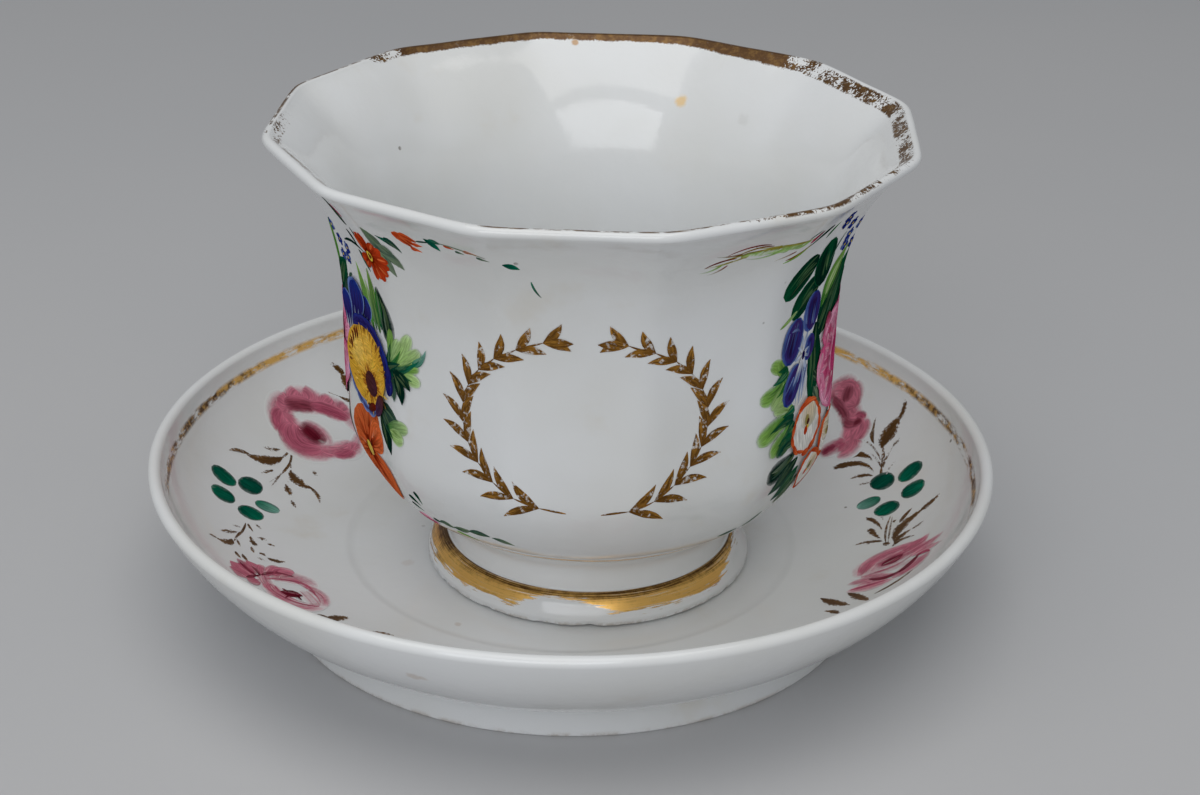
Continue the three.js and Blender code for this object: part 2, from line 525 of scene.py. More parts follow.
def cup_foot_glaze():
    material, shader = new_material("cup_foot_glaze")
    place, along = shader.object_place(), shader.profile_length()
    right, back, height = around(shader, place, CUP_AXIS)
    # The gilding's lower edge is rubbed away at the front and at the right end
    front_wear = shader.remap(shader.math("ABSOLUTE", shader.plus(right, 0.14)), 0.34, 0.1, 0, 2.2)
    front_wear = shader.times(front_wear, shader.remap(back, -0.7, -0.9))
    right_wear = shader.remap(right, 0.8, 0.97, 0, 3.0)
    lower_edge = shader.plus(shader.plus(front_wear, right_wear), 6.7)
    uneven = shader.noise(drawn_out(shader, place, along, 0.2, 0.0022), 900, 3, 0.65)
    kept = shader.minus(shader.minus(along, lower_edge), shader.times_plus(uneven, 4.4, -2.2))
    gilding = shader.times(shader.remap(kept, -0.1, 0.5), shader.remap(along, 10.75, 10.95, 1, 0))
    # Brush lines run round the skirt. The gilding is browned as painted shade under the neck and at the left
    # end, and lightened round its middle as a painted highlight
    lines = shader.noise(drawn_out(shader, place, along, 0.1, 0.0055), 900, 3, 0.6)
    gilding = shader.times(gilding, shader.remap(lines, 0.6, 0.7, 1, 0.35))
    # Painted shade: browner towards the crease under the neck and towards the left end
    rubbed = shader.plus(shader.remap(along, 8.6, 10.6, 0.0, 0.6), shader.remap(right, -0.86, -0.98, 0, 0.35))
    rubbed = shader.plus(rubbed, shader.remap(lines, 0.36, 0.64, 0.42, -0.12))
    # Painted highlight: a lighter band round the middle of the skirt
    rubbed = shader.minus(rubbed, shader.times(band(shader, along, low=7.3, high=8.7, soft=0.6), 0.25))
    # Darker towards the standing edge
    low = shader.remap(height, (CUP_BASE + 1.1) * MM, (CUP_BASE + 0.2) * MM, 0, 0.55)
    colour = darkened_near_stand(shader, place, glaze_colour(shader, place), low, grain=420, least=0.42)
    finish_glaze(shader, place, colour, gilding, rubbed, uneven=0.12, shine=0.8)
    return material


# Brown stains and scuffs on the saucer
STAIN = (164, 122, 70)
SAUCER_MARKS = (
    ((-22.8, -67.2, 20.2), 1.5, 0.3, STAIN),
    ((-21.4, -67.7, 20.3), 1.0, 0.25, STAIN),
    ((-29.0, -11.1, 8.2), 1.5, 0.14, STAIN),
    ((-18.6, -32.0, 8.2), 0.8, 0.25, STAIN),
)


def saucer_glaze():
    material, shader = new_material("saucer_glaze")
    place, along = shader.object_place(), shader.profile_length()
    right, back = around(shader, place, (0, 0))[:2]
    # A gilt band inside the lip, worn away towards the viewer
    strip = band(shader, along, low=4.5, high=6.0, soft=0.45)
    at_back = shader.remap(back, 0.35, 0.72, 0, 0.2)
    at_side = shader.remap(shader.times_plus(right, 0.15, back), -0.6, -0.1, 0, 0.9)
    amount = shader.plus(shader.plus(at_back, at_side), 0.02)
    gilding = shader.times(strip, left_of(shader, amount, streaks(shader, place, along, fine=150), soft=0.34))
    rubbed = shader.remap(back, 0.25, 0.6, 0.72, 0.1)
    colour = marked(shader, place, glaze_colour(shader, place), SAUCER_MARKS)
    finish_glaze(shader, place, colour, gilding, rubbed)
    return material


def saucer_foot_glaze():
    material, shader = new_material("saucer_foot_glaze")
    place = shader.object_place()
    # Darker towards the standing edge
    low = shader.remap(shader.split(place)[2], 1.3 * MM, 0.1 * MM, 0, 0.5)
    finish_glaze(shader, place, darkened_near_stand(shader, place, glaze_colour(shader, place), low, grain=300, least=0.4))
    return material


# Enamel and gilding laid with a brush

def brush_hairs(shader, lengthwise, crosswise, roughness):
    """The lines that the brush's hairs leave in a mark, from 0 to 1."""
    mark = shader.split(shader.node("ShaderNodeUVMap", uv_map="brush").outputs["UV"])
    run = shader.join(shader.times(mark[0], lengthwise), shader.times(mark[1], crosswise), 0.0)
    return shader.noise(run, 1.0, 3, roughness)


def enamel_paint():
    """Fired enamel colour: it thins to the porcelain where the brush ran dry."""
    material, shader = new_material("enamel_colours")
    place = shader.object_place()
    paint = shader.node("ShaderNodeAttribute", attribute_name="paint").outputs
    hairs = brush_hairs(shader, lengthwise=0.35, crosswise=2.6, roughness=0.6)
    shade = shader.remap(hairs, 0.3, 0.7, 0.66, 1.22)
    inputs = {0: paint["Color"], "Scale": shade}
    colour = shader.node("ShaderNodeVectorMath", inputs, operation="SCALE").outputs[0]
    thin = shader.times_plus(shader.minus(shader.noise(place, 1500), 0.5), 0.3, paint["Alpha"])
    shader.surface({
        "Base Color": shader.mix(shader.remap(thin, 0.03, 0.9), glaze_colour(shader, place), colour),
        "Roughness": shader.remap(hairs, 0.3, 0.7, 0.14, 0.24),
        "Specular IOR Level": 0.0,
    })
    return material


def gilt_paint(name, dark, shine, wear, grain):
    """Brushed gilding, dark in its hair marks and rubbed through to the porcelain in places."""
    material, shader = new_material(name)
    place = shader.object_place()
    paint = shader.node("ShaderNodeAttribute", attribute_name="paint").outputs
    rubbed = shader.remap(shader.noise(place, grain, 3, 0.7), 0.36, 0.66, 0, wear)
    cover = shader.remap(shader.minus(paint["Alpha"], rubbed), -0.05, 0.4)
    hairs = brush_hairs(shader, lengthwise=0.5, crosswise=2.2, roughness=0.65)
    tone = shader.remap(hairs, 0.34, 0.62)
    colour = shader.mix(tone, paint["Color"], dark)
    shader.surface({
        "Base Color": shader.mix(cover, glaze_colour(shader, place), colour),
        "Metallic": shader.times(cover, shine),
        "Roughness": shader.times_plus(cover, 0.24, 0.1),
        "Specular IOR Level": 0.1,
    })
    return material


# Brush marks

class Mark:
    """A flat brush mark one long and one wide, modelled once: its places along and across, and its faces."""

    def __init__(self, name, columns, rows, swell):
        leave_selection()
        bpy.ops.mesh.primitive_grid_add(x_subdivisions=columns, y_subdivisions=rows, size=1)
        mark = bpy.context.object
        mark.name = name
        shares, widths = zip(*swell)
        before = np.array([v.co for v in mark.data.vertices])
        self.u = before[:, 0] + 0.5
        self.v = before[:, 1] * 2
        bpy.ops.object.mode_set(mode="EDIT")
        bpy.ops.mesh.select_all(action="DESELECT")
        bpy.ops.object.mode_set(mode="OBJECT")
        for column in range(columns + 1):
            at = column / columns
            mark.data.vertices.foreach_set("select", np.abs(self.u - at) < 0.5 / columns)
            bpy.ops.object.mode_set(mode="EDIT")
            widen = float(np.interp(at, shares, widths))
            bpy.ops.transform.resize(value=(1, widen, 1), center_override=(at - 0.5, 0, 0))
            bpy.ops.mesh.select_all(action="DESELECT")
            bpy.ops.object.mode_set(mode="OBJECT")
        self.across = np.array([v.co.y for v in mark.data.vertices])
        self.faces = np.array([list(face.vertices) for face in mark.data.polygons])
        self.shape = (columns + 1, rows + 1)
        self.order = np.lexsort((np.round(self.v, 4), np.round(self.u, 4)))
        bpy.data.objects.remove(mark)


# How each kind of mark swells: share of its length, and share of its width there
SWELLS = {
    "leaf": [(0, 0.1), (0.12, 0.5), (0.35, 0.95), (0.5, 1), (0.7, 0.8), (0.88, 0.36), (1, 0.03)],
    "petal": [(0, 0.2), (0.2, 0.5), (0.45, 0.86), (0.66, 1), (0.84, 0.9), (0.95, 0.6), (1, 0.3)],
    "dab": [
        (0, 0.26), (0.06, 0.54), (0.14, 0.75), (0.28, 0.93), (0.5, 1),
        (0.72, 0.93), (0.86, 0.75), (0.94, 0.54), (1, 0.26),
    ],
    "line": [(0, 0.3), (0.2, 0.9), (0.55, 1), (0.85, 0.6), (1, 0.12)],
    "comma": [(0, 0.5), (0.1, 0.95), (0.3, 1), (0.6, 0.6), (0.85, 0.25), (1, 0.04)],
}
MARK_STEP = 0.95
MARKS = {}


def brush_mark(shape, length, width, step):
    """The mark of a shape that is fine enough to lie on a curved wall at this length and width."""
    columns = next((c for c in (6, 10, 16) if c * step >= length), 22)
    rows = next((r for r in (1, 2, 4, 7) if r * step >= width), 14)
    key = (shape, columns, rows)
    if key not in MARKS:
        MARKS[key] = Mark(f"{shape}_mark_{columns}_{rows}", columns, rows, SWELLS[shape])
    return MARKS[key]


# Places on the flat, in millimetres

def blend(first, second, share):
    """Between two paints or two places, by a share of the second."""
    return tuple(a + (b - a) * share for a, b in zip(first, second))


def oval(angle, wide, high):
    """The place at an angle on an oval round the middle of the flat, with these two half axes."""
    return (wide * math.cos(math.radians(angle)), high * math.sin(math.radians(angle)))


def polar(angle, reach):
    return oval(angle, reach, reach)


def step_off(place, angle, reach):
    """The place that lies at an angle and distance from another."""
    x, y = polar(angle, reach)
    return (place[0] + x, place[1] + y)


def beside(start, end, share, aside):
    """The place at a share of the way from start to end, and aside to the left of it."""
    run = np.subtract(end, start)
    left = np.array([-run[1], run[0]]) / np.linalg.norm(run)
    return start + run * share + left * aside


def cast(piece, rays):
    """Where rays, each a start in metres and a way, meet a piece, and which way its surface faces there."""
    points, normals = np.empty((len(rays), 3)), np.empty((len(rays), 3))
    for i, (start, way) in enumerate(rays):
        _, points[i], normals[i], _ = piece.ray_cast(start, way)
    return points, normals


def on_cup(flat):
    """From the flat, girth to the right of the front line and height above the foot, to the cup's outside."""
    rays = []
    for girth, height in flat:
        angle = girth / GIRTH_RADIUS
        out = Vector((math.sin(angle), -math.cos(angle), 0))
        rays.append((Vector((*CUP_AXIS, CUP_BASE + height)) * MM + out * RAY_START, -out))
    return cast(cup_body, rays)


def on_saucer(flat):
    """From the flat, girth round the ring of flowers and distance outside it, to the saucer's upper face."""
    rays = []
    for girth, outward in flat:
        angle, reach = girth / SAUCER_RING, (SAUCER_RING + outward) * MM
        start = Vector((reach * math.sin(angle), -reach * math.cos(angle), RAY_START))
        rays.append((start, Vector((0, 0, -1))))
    return cast(saucer_dish, rays)


def finer(count, many):
    """Weights that carry values on an even row of points to a row that is at least as fine."""
    at = np.linspace(0, count - 1, max(count, many))
    return np.maximum(0, 1 - np.abs(at[:, None] - np.arange(count)[None, :]))


class Painter:
    """Lays brush marks on porcelain and gathers them into one fired film.
    It keeps what is painted so far on a flat sheet, so that a thin mark takes up the paint below it."""

    # The sheet: size of a cell in millimetres, cells across and up, and the cell where the flat's zero lies
    CELL = 0.3
    SHEET = (1500, 500)
    ZERO = (750, 150)
    # Height of the first coat over the porcelain, of each coat on another, and thickness of the film
    LIFT = 0.02
    COAT = 0.006
    FILM = 0.03
    # The hand's unevenness in bend and colour, and how far the colour of the edge takes over
    BEND_SPREAD = 0.03
    PAINT_SPREAD = 0.1
    EDGE_SHARE = 0.8
    # How far a mark may reach to the inside of its own bend
    INSIDE_BEND = 0.85
    # Marks take the pattern of the hairs from places this far apart
    HAIR_SPREAD = 300
    SMOOTH_ANGLE = 40

    def __init__(self, name, lay, seed):
        self.name = name
        self.lay = lay
        self.chance = random.Random(seed)
        self.points, self.faces, self.paints, self.marks = [], [], [], []
        self.count = 0
        self.sheet = np.zeros((*self.SHEET, 5))
        self.at(0, 0)

    def at(self, x, y, turn=0.0, size=1.0, flip=False):
        """Where the next marks go: their place, turn and size."""
        self.place = np.array([x, y], float)
        self.turn = math.radians(turn)
        self.size = size
        self.side = -1 if flip else 1
        return self

    def near(self, amount):
        return self.chance.uniform(-amount, amount)

    def cells(self, flat):
        """The columns and rows of the sheet's cells in which places on the flat lie."""
        return tuple(
            np.clip((flat[..., i] / self.CELL + self.ZERO[i]).astype(int), 0, self.SHEET[i] - 1)
            for i in (0, 1)
        )

    def path(self, mark, start, end, width, bend):
        """Where a mark's points lie on the flat, and how far each is held in so that a bend doesn't fold."""
        run = end - start
        middle = (start + end) / 2 + np.array([-run[1], run[0]]) * bend
        u = mark.u[:, None]
        centre = (1 - u) ** 2 * start + 2 * u * (1 - u) * middle + u ** 2 * end
        heading = (1 - u) * (middle - start) + u * (end - middle)
        speed = np.linalg.norm(heading, axis=1)
        bow = end - 2 * middle + start
        turn = (heading[:, 0] * bow[1] - heading[:, 1] * bow[0]) / (2 * speed ** 3)
        aside = mark.across * width
        held = np.minimum(1, self.INSIDE_BEND / np.maximum(aside * turn, 0.01))
        across = np.column_stack([-heading[:, 1], heading[:, 0]]) / speed[:, None]
        flat = (centre + across * (aside * held)[:, None]) * self.size * (self.side, 1)
        cosine, sine = math.cos(self.turn), math.sin(self.turn)
        return flat @ np.array([[cosine, sine], [-sine, cosine]]) + self.place, held

    def stroke(self, shape, start, end, width, root, tip, bend=0.0, cover=1.0, dry=0.0, edge=None, soft=0.0):
        """One mark. Paint runs from root to tip, thins by dry to the tip and by soft to the sides."""
        start, end = np.array(start, float), np.array(end, float)
        length, breadth = np.linalg.norm(end - start) * self.size, width * self.size
        mark = brush_mark(shape, length, breadth, MARK_STEP if soft < 0.2 * cover else MARK_STEP / 2)
        flat, held = self.path(mark, start, end, width, bend + self.near(self.BEND_SPREAD))
        # Colour, mixed with the paint already there
        paint = np.array(root[:3]) + np.subtract(tip[:3], root[:3]) * mark.u[:, None]
        if edge is not None:
            paint = paint + (np.array(edge[:3]) - paint) * (mark.v ** 2)[:, None] * self.EDGE_SHARE
        paint = np.clip(paint * (1 + self.near(self.PAINT_SPREAD)), 0, 1)
        fade = np.maximum((mark.v * held) ** 2, (2 * mark.u - 1) ** 4)
        own = np.clip(cover - dry * mark.u - soft * fade, 0, 1)[:, None]
        below = self.sheet[self.cells(flat)]
        under = below[:, 3:4] * (1 - own)
        paint = (paint * own + below[:, :3] * under) / np.maximum(own + under, 1e-4)
        coat = np.column_stack([paint, own + under])
        # The same mark on the flat sheet, two points to a cell
        columns, rows = mark.shape
        along = finer(columns, int(length * (1 + 1.5 * abs(bend)) / self.CELL * 2))
        over = finer(rows, int(breadth / self.CELL * 2))
        grid = np.column_stack([flat, coat])[mark.order].reshape(columns, rows, 6)
        fine = np.einsum("ac,bd,cdk->abk", along, over, grid)
        where = self.cells(fine)
        level = self.sheet[where][..., 4].max() + self.COAT
        self.sheet[where] = np.concatenate([fine[..., 2:], np.full(fine.shape[:2] + (1,), level)], axis=2)
        # The mark on the porcelain, with its faces outwards
        points, normals = self.lay(flat)
        points = points + normals * (self.LIFT + level) * MM
        faces = mark.faces
        first = faces[len(faces) // 2]
        corner = points[first]
        if np.dot(np.cross(corner[1] - corner[0], corner[2] - corner[1]), normals[first[0]]) < 0:
            faces = faces[:, ::-1]
        offset = self.chance.uniform(0, self.HAIR_SPREAD)
        self.points.append(points)
        self.faces.append(faces + self.count)
        self.paints.append(coat)
        self.marks.append(np.column_stack([mark.u * length, mark.v * breadth / 2]) + offset)
        self.count += len(points)

    def fire(self, material, body, slot):
        """Makes the film from its marks."""
        mesh = bpy.data.meshes.new(self.name)
        mesh.from_pydata(np.concatenate(self.points), [], np.concatenate(self.faces))
        paints = mesh.attributes.new("paint", "FLOAT_COLOR", "POINT")
        paints.data.foreach_set("color", np.concatenate(self.paints).astype(np.float32).ravel())
        corners = np.empty(len(mesh.loops), dtype=np.int32)
        mesh.loops.foreach_get("vertex_index", corners)
        brush = mesh.uv_layers.new(name="brush")
        brush.data.foreach_set("uv", np.concatenate(self.marks)[corners].astype(np.float32).ravel())
        film = bpy.data.objects.new(self.name, mesh)
        bpy.context.scene.collection.objects.link(film)
        select_only(film)
        thickness = film.modifiers.new("thickness", "SOLIDIFY")
        thickness.thickness = self.FILM * MM
        thickness.offset = -1
        bpy.ops.object.modifier_apply(modifier="thickness")
        bpy.ops.object.shade_smooth_by_angle(angle=math.radians(self.SMOOTH_ANGLE))
        dress(film, material, body)


# Enamel colours
WHITE = linear(234, 232, 226)
PALE_PINK = linear(236, 168, 196)
PINK = linear(210, 74, 128)
CRIMSON = linear(168, 24, 78)
WINE = linear(88, 10, 32)
PALE_BLUE = linear(136, 164, 214)
BLUE = linear(32, 52, 138)
VIOLET = linear(52, 46, 116)
DEEP_VIOLET = linear(24, 14, 76)
PLUM = linear(66, 44, 104)
DEEP_PLUM = linear(38, 18, 58)
OCHRE = linear(234, 180, 62)
PALE_OCHRE = linear(242, 206, 108)
UMBER = linear(160, 88, 28)
BROWN = linear(84, 46, 38)
ORANGE = linear(220, 110, 60)
PALE_ORANGE = linear(230, 150, 112)
VERMILION = linear(194, 64, 28)
BRICK = linear(116, 30, 6)
YELLOW = linear(232, 202, 76)
PALE_GREEN = linear(172, 202, 136)
LIME = linear(134, 176, 84)
LEAF_GREEN = linear(54, 122, 48)
GREEN = linear(14, 84, 52)
DEEP_GREEN = linear(6, 42, 32)
SAGE = linear(120, 136, 112)
GREY_GREEN = linear(66, 94, 80)
TEAL = linear(12, 106, 80)
DEEP_TEAL = linear(4, 66, 54)
PALE_TEAL = linear(132, 182, 168)
DUSKY_PINK = linear(196, 112, 132)
DUSKY_ROSE = linear(166, 74, 98)
DUSKY_WINE = linear(96, 20, 36)
OLIVE = linear(146, 132, 46)
GOLD = linear(196, 142, 60)
DULL_GOLD = linear(120, 80, 32)
BROWN_GOLD = linear(138, 98, 46)
DARK_GOLD = linear(82, 54, 22)


# Leaves

def leaf(p, place, angle, length, width, light, dark, bend=0.1):
    """A pointed leaf: a light half, a dark half and a vein."""
    p.stroke("leaf", place, step_off(place, angle, length), width, dark, light, bend)
    root = step_off(step_off(place, angle, length * 0.04), angle - 90, width * 0.17)
    tip = step_off(root, angle, length * 0.86)
    p.stroke("leaf", root, tip, width * 0.5, dark, blend(dark, light, 0.35), bend)
    vein = step_off(place, angle, length * 0.84)
    p.stroke("line", place, vein, 0.1 + width * 0.05, light, light, bend, cover=0.8, dry=0.6)


def hair_strokes(p, start, end, width, root, tip, bend):
    """Dark and light lines that the brush's hairs leave in a broad mark."""
    for k in range(3 + int(width)):
        aside = p.near(0.3) * width
        low, high = p.chance.uniform(0.02, 0.35), p.chance.uniform(0.6, 0.92)
        first, last = beside(start, end, low, aside), beside(start, end, high, aside * 0.7)
        shade = blend(root, DEEP_GREEN, 0.5) if k % 2 else blend(tip, PALE_GREEN, 0.3)
        p.stroke("line", first, last, 0.18 + width * 0.07, shade, shade, bend, cover=0.5, dry=0.25)


def round_leaf(p, start, end, width, rim, dark, bend=0.08):
    """A blunt dark leaf with a paler rim, in long wet marks."""
    def at(share, aside=0.0):
        return beside(start, end, share, aside * width)

    p.stroke("dab", start, end, width, blend(rim, dark, 0.3), rim, bend)
    p.stroke("dab", at(0.01), at(0.96), width * 0.9, dark, GREEN, bend, edge=dark)
    p.stroke("line", at(0.1, 0.22), at(0.88, 0.16), width * 0.2, dark, dark, bend, cover=0.9)
    p.stroke("line", at(0.3, -0.24), at(0.95, -0.1), width * 0.14, rim, rim, bend, cover=0.5, dry=0.2)
    hair_strokes(p, start, end, width * 0.8, dark, GREEN, bend)


# Root along the leaf, reach, lean and width of each lobe
LOBES = (
    (0.06, 0.5, 76, 0.26), (0.1, 0.42, -80, 0.22), (0.26, 0.62, 44, 0.3),
    (0.3, 0.5, -46, 0.26), (0.4, 0.6, 10, 0.3), (0.5, 0.4, -20, 0.22),
)


def lobed_leaf(p, place, angle, length):
    """A leaf cut into uneven lobes: a light wash with dark marks from its stalk."""
    wash = blend(LIME, GREEN, 0.35)
    for at, reach, lean, wide in LOBES:
        root = step_off(place, angle, length * at)
        way = angle + lean + p.near(10)
        end = step_off(root, way, length * reach * (1 + p.near(0.18)))
        shape = "petal" if wide > 0.25 else "leaf"
        p.stroke(shape, root, end, length * wide, wash, LIME, p.near(0.2), dry=0.1, soft=0.35)
    for at, reach, lean, wide in LOBES:
        root = step_off(place, angle, length * at * 0.5)
        end = step_off(root, angle + lean * 0.85, length * reach * 0.8)
        p.stroke("comma", root, end, length * 0.15, GREEN, blend(GREEN, LIME, 0.5), p.near(0.2), dry=0.35)
    p.stroke("comma", place, step_off(place, angle, length * 0.6), length * 0.17, GREEN, GREEN, 0.05)


def pointed_spray(p, place, angle, length):
    """A dark leaf with torn points, brushed outwards."""
    half_grey = blend(DEEP_GREEN, GREY_GREEN, 0.5)
    for lean, reach in ((-38, 0.7), (-14, 0.95), (10, 1.0), (34, 0.78)):
        end = step_off(place, angle + lean, length * reach)
        p.stroke("leaf", place, end, length * 0.27, DEEP_GREEN, half_grey, p.near(0.12))
        end = step_off(place, angle + lean + 4, length * reach * 0.8)
        p.stroke("line", place, end, length * 0.06, GREY_GREEN, GREY_GREEN, 0.05, cover=0.6, dry=0.5)


def leaves_round(p, centre, low, high):
    """Dark and light leaves that stand out from behind a rose, between two angles."""
    for k, way in enumerate(np.linspace(low, high, 10)):
        root = step_off(centre, way, 7)
        if k % 3 == 2:
            leaf(p, root, way + p.near(9), 11, 4.2, LIME, GREEN)
        else:
            end = step_off(root, way + p.near(9), 10.5 + p.near(1))
            round_leaf(p, root, end, 5.2, GREEN, DEEP_GREEN, p.near(0.1))


# Flowers. Those without a size in millimetres are one in radius, and the painter's size makes them larger.

def pink_rose(p):
    """A full rose: pale outer petals, a folded middle and a dark heart."""
    p.stroke("dab", (0, -0.8), (0, 0.8), 1.6, PINK, PINK)
    for petal in range(9):
        way = petal * 40 + p.near(8)
        end = polar(way, 1 + p.near(0.05))
        p.stroke("petal", polar(way, 0.3), end, 0.74, CRIMSON, PALE_PINK, edge=PINK)
        for aside in (-14, -4, 7):
            end = polar(way + aside * 1.3, 0.84 + p.near(0.1))
            root = polar(way + aside, 0.45)
            p.stroke("comma", root, end, 0.12, CRIMSON, PINK, p.near(0.1), cover=0.8, dry=0.5)
        first, last = polar(way - 16, 0.9), polar(way + 16, 0.92)
        p.stroke("line", first, last, 0.08, PALE_PINK, PALE_PINK, -0.25, cover=0.8)
        for hair in range(6):
            aside = p.near(20)
            shade = p.chance.choice((CRIMSON, CRIMSON, PALE_PINK, blend(PALE_PINK, WHITE, 0.6)))
            first = polar(way + aside, p.chance.uniform(0.5, 0.68))
            last = polar(way + aside * 1.1, p.chance.uniform(0.8, 0.98))
            p.stroke("line", first, last, 0.07, shade, PINK, p.near(0.1), cover=0.75, dry=0.3)
    for fold in range(6):
        way = 20 + fold * 60 + p.near(10)
        p.stroke("petal", polar(way, 0.05), polar(way, 0.62), 0.6, CRIMSON, PINK, edge=PINK)
        p.stroke("line", polar(way - 30, 0.55), polar(way + 30, 0.55), 0.09, CRIMSON, PINK, -0.3)
        first, last = polar(way - 24, 0.62), polar(way + 24, 0.62)
        p.stroke("line", first, last, 0.07, PALE_PINK, PALE_PINK, -0.28, cover=0.9)
    for way in range(50, 410, 72):
        p.stroke("line", polar(way - 38, 0.32), polar(way + 38, 0.32), 0.12, CRIMSON, WINE, -0.35)
        p.stroke("line", polar(way - 30, 0.39), polar(way + 34, 0.38), 0.06, PALE_PINK, PINK, -0.3)
    p.stroke("dab", (-0.14, 0), (0.14, 0), 0.24, WINE, CRIMSON)


def pansy(p):
    """A pansy with violet-blue upper petals and a broad ochre lower petal round a brown heart."""
    for foot, end, width in (
        ((-7.6, 4.2), (-9.6, 10.4), 5.4), ((-0.4, 6.8), (0.2, 12.4), 5.0), ((-3.7, 6), (-3.2, 14.2), 7.2),
    ):
        foot, run = np.array(foot), np.subtract(end, foot)
        p.stroke("petal", foot, end, width, BLUE, BLUE, p.near(0.05), edge=PALE_BLUE)
        p.stroke("petal", foot, foot + run * 0.96, width * 0.86, VIOLET, BLUE, p.near(0.05))
        for aside in (-0.26, -0.1, 0.05, 0.2):
            root = foot + (aside * width, 0)
            last = root + run * 0.85 + (aside * 1.5, 0)
            p.stroke("line", root, last, 1.0, DEEP_VIOLET, VIOLET, p.near(0.05), dry=0.3)
        for aside in (-0.15, 0.05, 0.22):
            root = foot + (aside * width, -0.2)
            last = root + run * 0.4 + (aside * 2, 0)
            p.stroke("line", root, last, 0.5, WHITE, PALE_BLUE, p.near(0.06), cover=0.9, dry=0.5)
    # Blue petal behind, seen at the top and at the front side
    for k in range(8):
        way = -14 + k * 17
        first, last = oval(way, 8.7, 7.5), oval(way + 26, 8.9, 7.6)
        root, edge = BLUE if k < 4 else VIOLET, DEEP_VIOLET if k < 2 else BLUE
        p.stroke("dab", first, last, 2.4, root, VIOLET, -0.13, edge=edge)
        p.stroke("line", first, last, 0.9, DEEP_VIOLET, VIOLET, -0.13, cover=0.8, dry=0.2)
    for way in range(200, 285, 17):
        first, last = oval(way, 9.2, 7.9), oval(way + 24, 9.0, 7.7)
        p.stroke("line", first, last, 1.9, VIOLET, VIOLET, -0.13, edge=PALE_BLUE)
    # Ochre petal with its hairs and its fringe
    p.stroke("dab", (-8.9, -1.8), (7.5, 1.3), 13.4, OCHRE, OCHRE)
    p.stroke("dab", (-7.6, 1.2), (4.4, 3.0), 7.4, PALE_OCHRE, OCHRE, soft=0.8)
    heart = np.array([1.9, -2.4])
    for hair in range(130):
        way = p.chance.uniform(0, 360)
        first = step_off(heart, way, p.chance.uniform(2.2, 11))
        if (first[0] / 8.2) ** 2 + (first[1] / 6.3) ** 2 > 1:
            continue
        shade = p.chance.choice((UMBER, PALE_OCHRE, PALE_OCHRE, YELLOW, blend(OCHRE, UMBER, 0.5)))
        last = step_off(first, way, p.chance.uniform(0.9, 2.0))
        p.stroke("line", first, last, 0.4, shade, OCHRE, cover=0.75)
    for k in range(24):
        first = np.array(oval(10 + k * 8 + p.near(3), 8.3, 6.8))
        inward = 0.82 + p.near(0.08)
        last = first * (inward, inward - 0.06)
        p.stroke("comma", first, last, 0.5, BROWN, UMBER, p.near(0.1), cover=0.85, dry=0.3)
    for x, y in ((-6.2, 4.0), (-6.9, 2.6), (-5.2, 5.0), (-4.2, 5.4)):
        p.stroke("line", (x, y), (x + 0.4, y - 1.9), 0.8, BRICK, BROWN)
    # Brown heart
    for k in range(26):
        way = k * 13.8 + p.near(6)
        last = heart + oval(way, 3.9 + p.near(0.9), 3.2 + p.near(0.8))
        p.stroke("line", heart + oval(way, 2.2, 1.8), last, 0.5, UMBER, UMBER, cover=0.9, dry=0.3)
    p.stroke("dab", heart + (-2.6, 0.2), heart + (2.5, -0.2), 4.2, BROWN, blend(BROWN, DEEP_VIOLET, 0.3))
    p.stroke("dab", (6.6, -3.0), (3.6, -7.4), 2.6, BROWN, blend(BROWN, VIOLET, 0.4))
    p.stroke("line", (3.4, -6.0), (0.2, -7.6), 1.6, BRICK, BROWN)


FIVE_PETALS = [(way, 1.0, 0.95) for way in (90, 162, 234, 306, 18)]


def orange_flower(p, petals):
    """A loose orange flower with brick shadows and a yellow eye. Petals have a way, a reach and a width."""
    for way, reach, wide in petals:
        end = polar(way, reach)
        p.stroke("petal", polar(way, 0.03), end, wide, VERMILION, ORANGE, p.near(0.06), edge=ORANGE)
        for aside in (-13, -4, 6, 15):
            end = polar(way + aside * 1.2, reach * (0.7 + p.near(0.14)))
            root = polar(way + aside, 0.14)
            p.stroke("comma", root, end, 0.15, BRICK, VERMILION, p.near(0.1), cover=0.7, dry=0.6)
        first, last = polar(way - 22, reach * 0.55), polar(way - 14, reach * 0.96)
        p.stroke("line", first, last, 0.08, BRICK, VERMILION, 0.1, cover=0.7, dry=0.3)
        for hair in range(13):
            aside = p.near(26)
            shade = p.chance.choice((BRICK, BRICK, VERMILION, ORANGE, PALE_ORANGE))
            first = polar(way + aside, reach * p.chance.uniform(0.2, 0.6))
            last = polar(way + aside * 0.9, reach * p.chance.uniform(0.72, 0.95))
            p.stroke("line", first, last, 0.06, shade, ORANGE, p.near(0.1), cover=0.75, dry=0.2)
    for way in range(0, 360, 60):
        p.stroke("line", polar(way, 0.06), polar(way, 0.26), 0.1, BROWN, BRICK)
    p.stroke("dab", (-0.14, 0.1), (0.13, -0.1), 0.2, YELLOW, PALE_OCHRE)


def star_flower(p, petals):
    """A vermilion flower with split petals and a ringed yellow eye. Each petal has a way and a reach."""
    for way, reach in petals:
        for aside in (-10, 10):
            end = polar(way + aside, reach * (1 + p.near(0.06)))
            p.stroke("petal", (0, 0), end, 0.4, BRICK, VERMILION, edge=VERMILION)
        p.stroke("line", polar(way, 0.2), polar(way, reach * 0.8), 0.14, BRICK, VERMILION, dry=0.4)
        first, last = polar(way + 12, reach * 0.5), polar(way + 10, reach * 0.95)
        p.stroke("line", first, last, 0.1, ORANGE, ORANGE, cover=0.8)
    for reach, width, paint in ((0.3, 0.5, BRICK), (0.22, 0.32, YELLOW), (0.13, 0.15, BROWN)):
        p.stroke("dab", (0, -reach), (0, reach), width, paint, paint)


